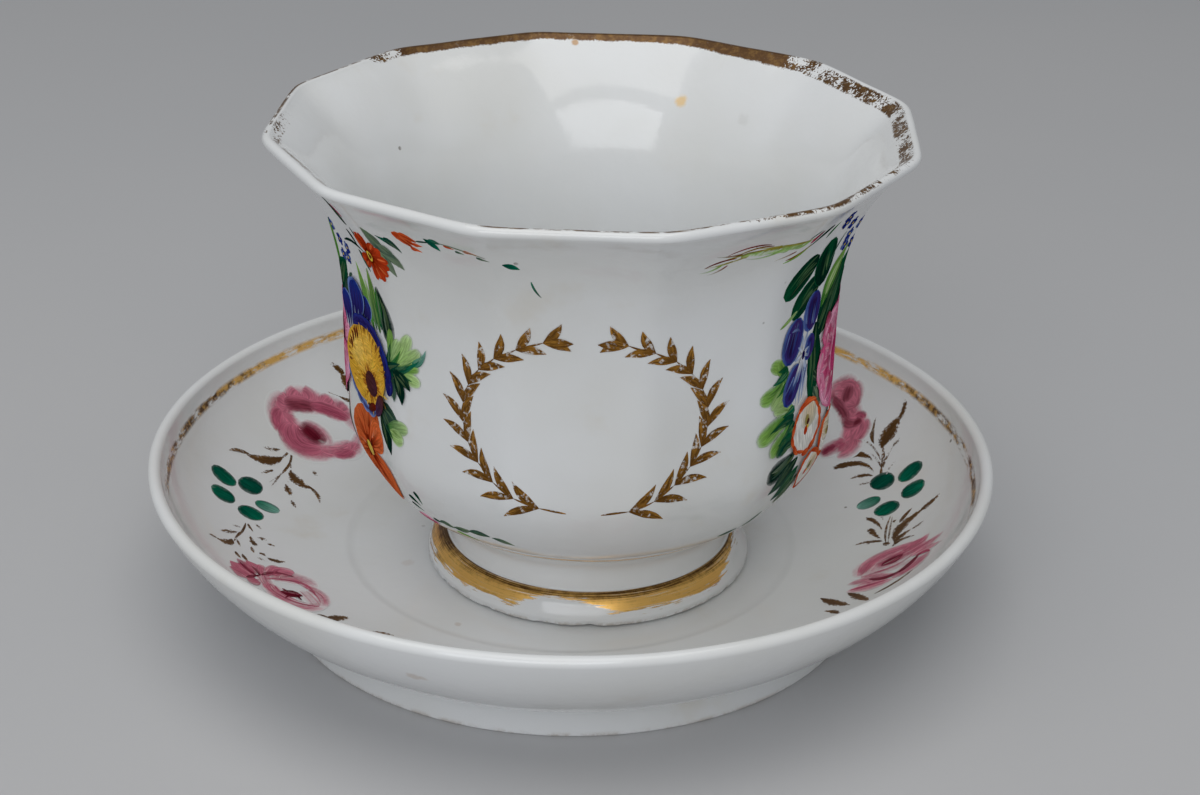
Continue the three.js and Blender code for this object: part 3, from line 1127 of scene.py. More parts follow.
def violet_flower(p):
    """A violet with dark rounded petals, each lit along one side in pale blue."""
    p.stroke("petal", (1.2, -1.6), (-0.4, -9.2), 4.6, PALE_BLUE, WHITE, 0.05, edge=WHITE)
    for x, reach in ((1.9, -8.4), (0.9, -9.0), (-0.2, -8.6)):
        p.stroke("line", (x + 0.2, -2.6), (x - 1.0, reach), 0.55, BLUE, PALE_BLUE, -0.1, cover=0.9, dry=0.2)
    for foot, end, width in (
        ((2.1, 3.4), (1.9, 10.6), 5.4), ((1.8, -1.8), (3.0, 2.6), 3.4),
        ((-0.9, -1.6), (-4.9, -7.8), 5.4), ((-3.0, 7.4), (-4.9, -0.4), 6.8),
    ):
        foot, run = np.array(foot), np.subtract(end, foot)
        p.stroke("dab", foot, end, width, BLUE, BLUE, p.near(0.03), edge=blend(BLUE, PALE_BLUE, 0.5))
        first, last = foot + run * 0.04 + (0.25, 0), foot + run * 0.96 + (0.25, 0)
        p.stroke("dab", first, last, width * 0.8, PLUM, blend(PLUM, BLUE, 0.35), p.near(0.03), edge=VIOLET)
        first, last = foot + run * 0.3, foot + run * 0.86
        p.stroke("dab", first, last, width * 0.52, DEEP_PLUM, DEEP_PLUM, cover=0.85, soft=0.65)
        for hair in range(7):
            aside = p.near(0.36) * width
            shade = p.chance.choice((PALE_BLUE, BLUE, DEEP_PLUM, blend(BLUE, PALE_BLUE, 0.6)))
            first = foot + run * (0.15, 0.15 + p.near(0.08)) + (aside * 0.8, 0)
            last = foot + run * (0.85, 0.8 + p.near(0.1)) + (aside, 0)
            p.stroke("line", first, last, 0.4, shade, BLUE, p.near(0.08), cover=0.6, dry=0.25)
        first, last = foot + run * (0, 0.25) - (width * 0.34, 0), foot + run * (1, 0.75) - (width * 0.3, 0)
        p.stroke("line", first, last, 0.4, PALE_BLUE, BLUE, 0.12, cover=0.8, dry=0.3)
    p.stroke("line", (-4.6, 5.4), (-1.6, 4.4), 0.5, PALE_BLUE, VIOLET, 0.3, cover=0.7)
    for way, reach in (
        (70, 4.4), (100, 3.8), (140, 2.6), (190, 2.8), (235, 4.2),
        (252, 4.8), (270, 4.6), (288, 3.8), (330, 2.2), (20, 2.0),
    ):
        end = step_off((0.2, 0), way, reach + p.near(0.4))
        p.stroke("line", (0.2, 0), end, 0.6, WHITE, PALE_BLUE, p.near(0.1), cover=0.95, dry=0.3)
    p.stroke("line", (-0.8, -1.4), (-2.8, -4.8), 0.7, WHITE, PALE_BLUE, 0.05, cover=0.9, dry=0.3)
    p.stroke("dab", (0.0, -1.0), (0.3, 0.5), 0.9, DEEP_VIOLET, DEEP_VIOLET)


def white_blossom(p):
    """A white flower drawn round with an orange-red line, with an ochre shadow and eye."""
    p.stroke("dab", (0, -1), (0, 1), 1.9, WHITE, WHITE)
    shadow, light = blend(OLIVE, WHITE, 0.3), blend(OCHRE, WHITE, 0.5)
    p.stroke("dab", (0.25, -0.1), (0.15, 0.9), 1.2, shadow, light, cover=0.85, soft=0.6)
    for k in range(14):
        way = k * 360 / 14
        first, last = (polar(way + lean, 0.98 + p.near(0.06)) for lean in (0, 33))
        p.stroke("line", first, last, 0.2 + p.near(0.06), VERMILION, ORANGE, -0.14)
    p.stroke("line", (-0.6, 0.82), (0.6, 0.86), 0.26, VERMILION, ORANGE, 0.2)
    p.stroke("dab", (0.02 / p.size, 0.02), (0.1 / p.size, 0.46), 0.32, OLIVE, OLIVE, cover=0.9, soft=0.3)
    for start, end, width, paint in (
        ((0.06, 0.04), (0.16, 0.26), 0.18, BROWN), ((-0.08, -0.3), (0.02, 0.02), 0.26, VERMILION),
        ((0.08, -0.1), (0.14, 0.04), 0.1, YELLOW),
    ):
        p.stroke("dab", start, end, width, paint, paint)


def forget_me_nots(p, places, size):
    """Small blue flowers of five dabs with a yellow eye."""
    for x, y in places:
        p.at(x, y, size=size)
        tilt = p.chance.uniform(0, 72)
        for k in range(5):
            way = tilt + k * 72
            shade = p.chance.choice((BLUE, BLUE, blend(BLUE, PALE_BLUE, 0.4)))
            p.stroke("dab", polar(way, 0.2), polar(way, 1), 0.75, shade, blend(shade, DEEP_VIOLET, 0.3))
        p.stroke("dab", (0, -0.2), (0, 0.2), 0.32, YELLOW, YELLOW)
    p.at(0, 0)


def tulip_bud(p, place, angle, length):
    """A bud of three narrow petals."""
    for lean, reach, width in ((22, 0.9, 0.34), (-22, 0.88, 0.34), (0, 1.0, 0.4)):
        end = step_off(place, angle + lean, length * reach)
        p.stroke("petal", place, end, length * width, VERMILION, ORANGE, p.near(0.1))
        end = step_off(place, angle + lean, length * reach * 0.7)
        p.stroke("line", place, end, length * 0.1, BRICK, VERMILION, cover=0.8, dry=0.4)


def free_marks(p, marks):
    """Single marks: shape, start, end, width, paint at the root and at the tip, and bend."""
    for shape, start, end, width, root, tip, bend in marks:
        p.stroke(shape, start, end, width, root, tip, bend, soft=0.5 if shape == "petal" else 0.12)
        if width > 1.3:
            hair_strokes(p, start, end, width, root, tip, bend)


# Bouquets on the cup, each on one side

def paint_left_bouquet():
    p = Painter("enamel_left_bouquet", on_cup, 11)
    # Leaves behind the flowers
    for start, end, width in (
        ((-58, 59), (-60, 70), 4.6), ((-62, 58), (-62, 71), 5), ((-70, 58), (-74, 70), 5),
    ):
        round_leaf(p, start, end, width, SAGE, DEEP_GREEN)
    leaf(p, (-64, 60), 112, 12, 4, LIME, GREEN)
    leaf(p, (-55.6, 57), 84, 10, 2.2, LIME, LEAF_GREEN)
    free_marks(p, [
        ("leaf", (-56.9, 53.4), (-51.6, 60.6), 4.4, DEEP_GREEN, GREEN, 0.1),
        ("leaf", (-55.1, 52.3), (-50.6, 58), 3.4, GREY_GREEN, DEEP_GREEN, -0.1),
        ("line", (-51.4, 57.4), (-49.8, 58.6), 0.7, GREY_GREEN, GREY_GREEN, 0.2),
        ("leaf", (-42.2, 70.4), (-46.4, 74.2), 2.4, DEEP_GREEN, DEEP_GREEN, 0.08),
        ("dab", (-41.4, 72.2), (-43.4, 73.8), 0.9, CRIMSON, CRIMSON, 0),
        ("line", (-48.7, 65.3), (-39.3, 66.6), 0.6, DEEP_GREEN, DEEP_GREEN, 0.12),
        ("leaf", (-41.1, 70.4), (-39.6, 67.4), 1.0, DEEP_GREEN, GREY_GREEN, 0.1),
        ("leaf", (-42.0, 66.0), (-39.2, 63.0), 1.6, DEEP_GREEN, GREY_GREEN, 0.1),
        ("leaf", (-44.4, 68.8), (-41.6, 66.8), 1.0, DEEP_GREEN, DEEP_GREEN, 0.1),
        # Sage leaves beside the star flower
        ("leaf", (-34.6, 73.2), (-32.6, 68.4), 2.4, SAGE, GREY_GREEN, 0.05),
        ("leaf", (-33.6, 70.2), (-31.6, 64.8), 2.0, GREY_GREEN, SAGE, -0.08),
        ("leaf", (-33.4, 69.8), (-29.6, 66.6), 2.0, GREY_GREEN, SAGE, 0.1),
        ("leaf", (-33.2, 70.6), (-30.6, 68.4), 1.6, SAGE, GREY_GREEN, 0.1),
        ("comma", (-30.4, 71.7), (-32.4, 72.4), 0.9, TEAL, DEEP_TEAL, 0.1),
        ("comma", (-31.0, 72.2), (-28.8, 70.0), 1.5, DEEP_TEAL, GREY_GREEN, 0.15),
        # Blades
        ("leaf", (-42.0, 51.6), (-46.2, 62.2), 2.8, LEAF_GREEN, LIME, 0.08),
        ("leaf", (-40.8, 52), (-43.6, 60.0), 1.8, GREEN, PALE_GREEN, 0.05),
        ("leaf", (-39.4, 52), (-41.0, 63), 2.8, GREEN, LIME, 0.08),
        ("petal", (-38.6, 60.6), (-36.4, 51.4), 4.4, DEEP_GREEN, DEEP_GREEN, 0.14),
        ("leaf", (-38.4, 53), (-38.8, 60.4), 2.2, GREEN, LEAF_GREEN, 0.05),
        ("line", (-37.6, 53), (-38.6, 60), 0.6, GREY_GREEN, SAGE, 0.1),
        ("line", (-36.4, 53), (-36.8, 57.6), 0.5, SAGE, GREY_GREEN, 0.1),
        # Lobed leaf
        ("petal", (-36.0, 47.0), (-35.4, 54.2), 2.0, LEAF_GREEN, LIME, 0.08),
        ("petal", (-35.8, 47.2), (-33.6, 53.0), 2.0, LEAF_GREEN, PALE_GREEN, 0.04),
        ("petal", (-35.4, 47.4), (-31.2, 54.4), 2.6, LIME, PALE_GREEN, -0.08),
        ("petal", (-35.0, 47.4), (-29.4, 52.2), 2.4, LIME, PALE_GREEN, -0.06),
        ("petal", (-34.6, 47.2), (-29.6, 49.0), 2.0, LEAF_GREEN, LIME, 0.05),
        ("petal", (-34.4, 46.6), (-29.4, 46.2), 2.4, LIME, PALE_GREEN, 0.1),
        ("comma", (-30.8, 49.4), (-28.0, 52.6), 1.4, TEAL, PALE_TEAL, -0.25),
        ("comma", (-37.0, 46.4), (-35.6, 51.8), 1.5, DEEP_TEAL, GREEN, 0.05),
        ("comma", (-36.6, 46.6), (-33.2, 51.2), 1.3, DEEP_TEAL, LEAF_GREEN, -0.1),
        ("comma", (-36.4, 46.4), (-29.4, 50.4), 1.6, DEEP_TEAL, TEAL, -0.14),
        ("comma", (-36.2, 46.6), (-31.0, 46.4), 1.5, DEEP_TEAL, GREEN, 0.1),
        ("comma", (-37.2, 46.2), (-33.4, 48.8), 2.2, DEEP_GREEN, DEEP_TEAL, 0.1),
        # Torn dark points under it
        ("leaf", (-36.6, 47.0), (-35.0, 41.6), 2.0, DEEP_GREEN, GREY_GREEN, 0.1),
        ("leaf", (-35.0, 47.2), (-33.2, 41.6), 2.0, DEEP_GREEN, DEEP_GREEN, 0.14),
        ("leaf", (-34.6, 47.4), (-31.4, 44.6), 2.0, DEEP_GREEN, DEEP_GREEN, 0.1),
        ("line", (-36.4, 45.4), (-35.4, 42.4), 0.4, SAGE, SAGE, 0.1),
    ])
    for start, end, width in (((-58, 36), (-64, 29), 5), ((-60, 33), (-58, 24), 4.4)):
        round_leaf(p, start, end, width, SAGE, DEEP_GREEN)
    for place, angle, length in (
        ((-62, 28), 250, 11), ((-72, 27), 285, 10), ((-94, 46), 150, 11), ((-94, 38), 195, 11),
    ):
        lobed_leaf(p, place, angle, length)
    pointed_spray(p, (-91, 32), 205, 9)
    pointed_spray(p, (-88, 28), 220, 10)
    for start, end, width in (
        ((-92, 65.5), (-99, 61.9), 4.6), ((-88.5, 61.7), (-95, 57.9), 4.6), ((-88.5, 60.4), (-89, 69), 5),
    ):
        round_leaf(p, start, end, width, SAGE, DEEP_GREEN)
    leaf(p, (-82, 58), 96, 13, 5, LIME, DEEP_GREEN)
    # The rose in the middle of the side
    leaves_round(p, (-66, 43.5), 70, 290)
    pink_rose(p.at(-65.0, 43.0, 14, 11.8))
    # Front edge of the bouquet
    orange_flower(p.at(-46.5, 28.2, size=8.8), (
        (142, 0.92, 1.0), (80, 1.0, 0.84), (42, 0.84, 0.7),
        (262, 1.02, 0.95), (205, 0.86, 0.9), (324, 1.16, 0.96),
    ))
    free_marks(p.at(0, 0), [
        ("leaf", (-41.0, 38.2), (-34.4, 37.6), 3.2, DEEP_GREEN, GREY_GREEN, 0.18),
        ("leaf", (-41.0, 38.0), (-37.0, 31.0), 3.8, DEEP_GREEN, DEEP_GREEN, 0.06),
        ("leaf", (-40.4, 38.0), (-35.4, 35.0), 3.0, GREY_GREEN, DEEP_GREEN, -0.05),
        ("petal", (-37.8, 36.0), (-32.4, 37.2), 2.8, LEAF_GREEN, PALE_GREEN, 0.1),
        ("petal", (-37.6, 35.4), (-33.4, 34.8), 3.0, LIME, PALE_GREEN, 0),
        ("comma", (-38.4, 36.0), (-36.0, 34.2), 1.0, DEEP_GREEN, GREEN, 0.1),
    ])
    pansy(p.at(-45.2, 43.9))
    star_flower(p.at(-36.5, 67.1, size=4.3), (
        (108, 1.0), (142, 1.0), (44, 0.9), (352, 0.9), (308, 1.0), (280, 0.95), (216, 0.95),
    ))
    forget_me_nots(p, [(-51.8, 64.2), (-52.0, 61.4), (-49.0, 63.6), (-49.8, 61.6), (-53.6, 66.2)], 1.15)
    # Back edge of the bouquet, not seen in the picture
    violet_flower(p.at(-86, 46, flip=True))
    white_blossom(p.at(-80, 31, size=4.6))
    white_blossom(p.at(-84.5, 22.5, 40, 3.8))
    white_blossom(p.at(-72, 29.5, size=4.2))
    orange_flower(p.at(-74, 65, 15, 4.8), FIVE_PETALS)
    forget_me_nots(p, [(-83, 68.5), (-85, 66), (-82, 65.2), (-66.5, 68.5), (-68.5, 66.4), (-66, 65.6)], 1.4)
    # Sprig under the lip
    for place, angle, length, width in (
        ((-25.4, 72.6), 154, 3.4, 2.0), ((-24.8, 73.4), 158, 2.6, 1.4), ((-26.0, 72.0), 140, 2.4, 1.2),
    ):
        end = step_off(place, angle, length)
        p.stroke("petal", place, end, width, VERMILION, VERMILION, p.near(0.1), edge=ORANGE)
        p.stroke("line", place, step_off(place, angle, length * 0.8), 0.4, BRICK, BRICK, cover=0.7, dry=0.3)
    free_marks(p, [
        ("comma", (-25.6, 72.7), (-24.0, 72.7), 0.8, VERMILION, ORANGE, 0),
        ("comma", (-26.4, 71.7), (-24.6, 71.4), 0.8, VERMILION, ORANGE, 0.1),
        ("line", (-24.7, 73.6), (-22.4, 74.1), 0.35, GREY_GREEN, DEEP_GREEN, 0),
        ("leaf", (-22.8, 74.8), (-20.9, 72.8), 1.3, DEEP_TEAL, TEAL, 0.1),
        ("leaf", (-22.0, 74.9), (-20.2, 74.5), 0.9, TEAL, GREY_GREEN, 0),
        ("comma", (-19.8, 74.3), (-18.2, 74.0), 0.6, VERMILION, ORANGE, 0),
        ("comma", (-18.2, 73.6), (-16.8, 73.4), 0.5, GREY_GREEN, SAGE, 0.1),
        ("comma", (-16.8, 74.2), (-14.8, 74.0), 0.6, VERMILION, ORANGE, 0),
        ("comma", (-15.0, 73.4), (-13.2, 73.0), 0.5, GREY_GREEN, SAGE, 0),
        ("line", (-20.4, 74.6), (-13.6, 73.6), 0.22, SAGE, SAGE, 0.04),
        ("leaf", (-11.6, 72.6), (-9.4, 71.8), 1.1, DEEP_TEAL, TEAL, 0.1),
        ("line", (-8.2, 69.4), (-7.0, 66.4), 0.35, TEAL, GREY_GREEN, -0.15),
    ])
    tulip_bud(p, (-104, 72.6), 188, 4.4)
    leaf(p, (-98, 70.6), 168, 5.6, 2.2, SAGE, GREY_GREEN)
    leaf(p, (-99, 69.6), 215, 5.4, 2.0, SAGE, GREY_GREEN)
    leaf(p, (-112, 73.4), 196, 3.6, 1.3, GREY_GREEN, DEEP_TEAL)
    leaf(p, (-118, 72.8), 200, 3.0, 1.2, TEAL, DEEP_TEAL)
    # Sprigs at the bottom
    free_marks(p, [
        ("comma", (-32.6, 25.6), (-31.8, 23.0), 0.8, DEEP_GREEN, GREEN, 0.1),
        ("comma", (-34.4, 24.2), (-32.6, 22.4), 1.0, DEEP_GREEN, GREEN, 0.1),
        ("comma", (-34.8, 22.4), (-32.8, 21.0), 0.8, DEEP_GREEN, GREEN, 0.1),
        ("petal", (-37.2, 18.4), (-32.6, 19.2), 2.0, PINK, PALE_PINK, 0.05),
        ("petal", (-36.4, 18.2), (-31.8, 18.4), 1.5, CRIMSON, PINK, -0.1),
        ("comma", (-31.6, 19.6), (-29.4, 19.4), 1.0, DEEP_GREEN, GREY_GREEN, 0),
        ("leaf", (-29.8, 19.8), (-26.6, 19.2), 1.5, GREY_GREEN, SAGE, 0.1),
        ("leaf", (-26.6, 19.5), (-22.4, 20.2), 1.4, GREY_GREEN, SAGE, -0.1),
        ("leaf", (-22.8, 20.0), (-18.1, 20.2), 1.4, GREY_GREEN, GREY_GREEN, 0.1),
        ("leaf", (-17.8, 20.0), (-13.5, 19.1), 1.2, GREY_GREEN, SAGE, 0.1),
        ("comma", (-26.9, 18.2), (-22.3, 17.3), 0.9, LIME, LEAF_GREEN, 0.05),
        ("leaf", (-98, 20), (-103, 19.4), 1.5, GREY_GREEN, SAGE, 0.1),
        ("leaf", (-104, 19.4), (-109, 19.8), 1.4, GREY_GREEN, SAGE, -0.1),
    ])
    return p


def paint_right_bouquet():
    p = Painter("enamel_right_bouquet", on_cup, 23)
    # Leaves behind the flowers
    for start, end, width, bend in (
        ((40.4, 66.4), (32.4, 61.6), 5.8, -0.1), ((44.0, 61.8), (36.2, 56.8), 5.4, -0.06),
        ((44.8, 60.2), (42.6, 69.2), 5.6, 0.05),
    ):
        round_leaf(p, start, end, width, GREEN, DEEP_GREEN, bend)
    free_marks(p, [
        ("leaf", (46.6, 50.0), (52.6, 64.0), 7.4, DEEP_GREEN, GREEN, -0.05),
        ("leaf", (46.4, 55.4), (50.8, 65.4), 3.4, LEAF_GREEN, LIME, 0.05),
        ("leaf", (47.2, 57.4), (50.0, 63.6), 1.5, PALE_GREEN, PALE_GREEN, 0.05),
        ("line", (48.6, 52), (53, 62), 0.7, GREY_GREEN, GREEN, 0),
        ("line", (37.6, 57.7), (32.8, 56.1), 0.8, PALE_GREEN, LIME, 0.05),
    ])
    for start, end in (((58, 58), (58, 71)), ((65, 58), (66, 71)), ((74, 58), (78, 70))):
        round_leaf(p, start, end, 5, SAGE, DEEP_GREEN)
    leaf(p, (61, 60), 100, 12, 4, LIME, GREEN)
    leaf(p, (70, 60), 80, 12, 4, LIME, GREEN)
    for place, angle, length in (((62, 26), 265, 10), ((72, 26), 285, 10), ((94.5, 47), 40, 12)):
        lobed_leaf(p, place, angle, length)
    pointed_spray(p, (95, 45), -52, 8)
    pointed_spray(p, (91, 37), -50, 9.5)
    free_marks(p, [
        ("petal", (93, 35), (98.6, 36.6), 4, LEAF_GREEN, PALE_GREEN, 0.1),
        ("leaf", (91.5, 52), (88, 63), 3.4, GREEN, LIME, 0.08),
        ("leaf", (93.5, 52), (92.4, 63.5), 3.6, GREEN, LIME, 0.05),
        ("petal", (93.4, 61), (95.6, 51.4), 4.4, DEEP_GREEN, DEEP_GREEN, 0.14),
        # Lobed leaves at the front edge
        ("petal", (37.2, 46.6), (31.4, 50.0), 2.8, LIME, LIME, -0.1),
        ("petal", (37.0, 46.4), (33.6, 49.8), 2.6, LEAF_GREEN, LIME, 0.1),
        ("petal", (36.6, 46.4), (29.4, 44.4), 3.4, LEAF_GREEN, LIME, 0.12),
        ("petal", (36.6, 45.6), (32.0, 42.4), 3.0, LIME, PALE_GREEN, 0.1),
        ("petal", (37.4, 43.6), (34.0, 41.4), 2.8, LIME, PALE_GREEN, 0.1),
        ("comma", (36.8, 47.6), (32.2, 46.4), 2.0, GREEN, TEAL, 0.1),
        ("comma", (36.4, 48.2), (33.4, 48.4), 1.3, GREEN, GREEN, 0.1),
        ("comma", (36.4, 45.4), (33.4, 43.8), 1.2, GREEN, LEAF_GREEN, 0.1),
        ("petal", (39.4, 39.8), (32.8, 41.6), 3.0, LIME, PALE_GREEN, -0.15),
        ("petal", (39.0, 38.6), (29.4, 36.8), 4.0, LEAF_GREEN, LIME, -0.14),
        ("petal", (38.6, 37.6), (32.4, 33.8), 3.4, LEAF_GREEN, LIME, 0.1),
        ("petal", (39.6, 37.0), (35.6, 33.0), 3.2, LEAF_GREEN, LIME, 0.1),
        ("comma", (39.8, 39.6), (35.8, 39.4), 2.0, TEAL, GREEN, 0.1),
        ("comma", (39.6, 38.0), (32.0, 37.9), 1.9, DEEP_TEAL, GREEN, -0.1),
        ("comma", (40.0, 37.0), (34.8, 34.6), 2.2, DEEP_TEAL, GREEN, 0.1),
        ("petal", (40.6, 35.6), (37.2, 35.4), 2.6, TEAL, GREEN, 0.1),
        ("petal", (40.6, 33.4), (34.2, 33.0), 2.6, DEEP_TEAL, DEEP_TEAL, -0.16),
        # Dark leaves below
        ("petal", (41.6, 31.0), (32.4, 29.4), 4.2, DEEP_GREEN, DEEP_GREEN, 0.12),
        ("line", (39.6, 30.8), (33.6, 30.0), 0.8, GREY_GREEN, SAGE, 0.1),
        ("line", (38.8, 29.8), (33.8, 28.8), 0.5, GREY_GREEN, GREY_GREEN, 0.1),
        ("leaf", (42.6, 29.4), (34.2, 25.4), 3.4, DEEP_GREEN, GREY_GREEN, 0.06),
        ("leaf", (43.4, 27.4), (36.8, 23.0), 3.2, GREEN, GREY_GREEN, 0.05),
        ("leaf", (44.2, 25.4), (39.0, 21.4), 2.6, GREY_GREEN, SAGE, 0.05),
        # Dark leaf between the violet and the rose
        ("leaf", (45.4, 53), (45.4, 36.8), 4.6, DEEP_GREEN, GREEN, 0.05),
        ("leaf", (46.0, 44), (48.4, 41.6), 2.4, DEEP_GREEN, GREY_GREEN, 0.05),
        ("leaf", (46.4, 41), (49.0, 36.0), 2.4, GREY_GREEN, SAGE, 0.05),
    ])
    # The rose in the middle of the side
    leaves_round(p, (60, 44), -110, 110)
    pink_rose(p.at(58.8, 44.4, -20, 12.0))
    p.at(0, 0)
    blush = blend(PALE_PINK, WHITE, 0.5)
    for start, end, width, paint in (
        ((49.6, 53.6), (47.6, 48.6), 1.3, CRIMSON), ((50.6, 51.0), (48.2, 46.0), 1.0, CRIMSON),
        ((48.6, 47.4), (47.8, 42.4), 1.5, PINK), ((51.4, 47.4), (49.4, 43.6), 0.9, CRIMSON),
        ((50.4, 43.2), (48.4, 39.4), 1.2, CRIMSON), ((48.6, 42.6), (49.4, 38.2), 1.0, PALE_PINK),
        ((51.8, 41.6), (50.4, 37.2), 1.2, CRIMSON), ((49.0, 51.6), (48.0, 49.0), 0.6, PALE_PINK),
        ((52.2, 50.2), (50.6, 45.4), 0.8, PALE_PINK), ((48.4, 46.4), (47.7, 43.0), 0.7, blush),
        ((50.0, 49.4), (49.0, 46.8), 0.6, blush), ((50.6, 40.2), (49.6, 37.4), 0.7, blush),
        ((50.9, 45.2), (49.9, 42.0), 1.1, WINE), ((50.2, 53.0), (49.2, 50.6), 0.8, WINE),
    ):
        p.stroke("comma", start, end, width, paint, PINK, 0.14, cover=0.85, dry=0.3, soft=0.15)
    # Front edge of the bouquet
    violet_flower(p.at(41.4, 48.8))
    white_blossom(p.at(53.6, 30.0, 70, 4.2))
    white_blossom(p.at(44.3, 34.6, size=4.8))
    white_blossom(p.at(47.2, 25.4, -30, 3.6))
    forget_me_nots(p, [
        (43.6, 72.9), (44.2, 71.6), (49.0, 67.8), (49.0, 65.9), (52.0, 65.4), (51.6, 69.0), (47.4, 70.4),
    ], 1.2)
    p.stroke("line", (45.4, 63), (47.0, 69), 0.35, GREY_GREEN, GREY_GREEN, 0.1, cover=0.95, dry=0.1)
    # Back edge of the bouquet, not seen in the picture
    pansy(p.at(85.5, 44, flip=True))
    orange_flower(p.at(84, 28.5, 30, 8.0), FIVE_PETALS)
    white_blossom(p.at(70, 30, 10, 4.4))
    star_flower(p.at(95.5, 67, -10, 4.4), [(way, 1) for way in (18, 90, 162, 234, 306)])
    orange_flower(p.at(71, 66, 15, 4.6), FIVE_PETALS)
    forget_me_nots(p, [(82, 68), (84, 65.6), (81.6, 64.6), (62, 69), (64, 66.6), (61.4, 66)], 1.4)
    # Grassy sprig under the lip
    free_marks(p, [
        ("comma", (38.0, 73.6), (33.2, 71.2), 1.1, DEEP_GREEN, DEEP_GREEN, 0.05),
        ("dab", (35.0, 73.8), (32.8, 72.2), 1.0, WINE, CRIMSON, 0.05),
        ("line", (33.6, 71.6), (29.2, 69.9), 0.45, OLIVE, BRICK, 0.05),
        ("line", (33.0, 71.2), (29.0, 69.4), 0.5, LIME, LIME, 0.05),
        ("line", (33.4, 73.0), (22, 73.2), 0.28, OLIVE, OLIVE, -0.05),
        ("line", (24, 73.3), (16.4, 71.6), 0.28, OLIVE, BRICK, -0.05),
        ("line", (31.8, 73.4), (33.8, 74.4), 0.35, GREY_GREEN, GREY_GREEN, 0.05),
        ("line", (25.0, 74.2), (18.8, 73.3), 0.3, BRICK, BRICK, -0.2),
        ("line", (25.6, 73.8), (20.2, 72.9), 0.28, BRICK, OLIVE, -0.2),
        ("line", (20.4, 72.4), (15.8, 71.3), 0.28, BRICK, BRICK, -0.16),
        ("leaf", (38.6, 70.8), (40.2, 73.4), 0.9, GREEN, LEAF_GREEN, 0.05),
    ])
    for x, y, angle, length, paint in (
        (32.4, 72.8, 176, 6.0, LIME), (31.4, 72.4, 186, 5.6, LIME), (31, 73.2, 172, 4.4, OLIVE),
        (30.4, 71.4, 196, 3.4, BRICK), (28.6, 72.8, 182, 5.4, LIME), (27.5, 72.4, 188, 5.4, LIME),
        (27, 73.5, 174, 4.4, OLIVE), (24, 73.0, 186, 5.0, LIME), (22, 72.4, 192, 4.4, OLIVE),
        (21, 73.2, 178, 4.0, BRICK), (20, 71.9, 190, 4.2, OLIVE), (18.6, 71.6, 196, 3.6, LIME),
        (19.4, 71.2, 202, 3.2, BRICK),
    ):
        end = step_off((x, y), angle + p.near(4), length)
        pale = blend(paint, PALE_GREEN, 0.4)
        p.stroke("comma", (x, y), end, 0.32, paint, pale, 0.1 + p.near(0.12), cover=0.8, dry=0.4)
    for x in np.linspace(32, 23, 8):
        end = (x - 2.0, 72.4 + p.near(0.4))
        p.stroke("dab", (x, 72.9), end, 1.1, PALE_GREEN, PALE_GREEN, cover=0.34, soft=0.3)
    tulip_bud(p, (104, 72.6), -8, 4.4)
    leaf(p, (98, 70.6), 12, 5.6, 2.2, SAGE, GREY_GREEN)
    leaf(p, (112, 73.4), -16, 3.6, 1.3, GREY_GREEN, DEEP_TEAL)
    # Sprigs at the bottom
    for place, angle, length, width in (
        ((36.4, 20.6), 212, 4.2, 1.4), ((31, 18.6), 190, 4, 1.3),
        ((98, 20), -8, 5, 1.5), ((103, 19.4), 8, 4.6, 1.4),
    ):
        leaf(p, place, angle, length, width, SAGE, GREY_GREEN)
    return p


# Flowers on the saucer

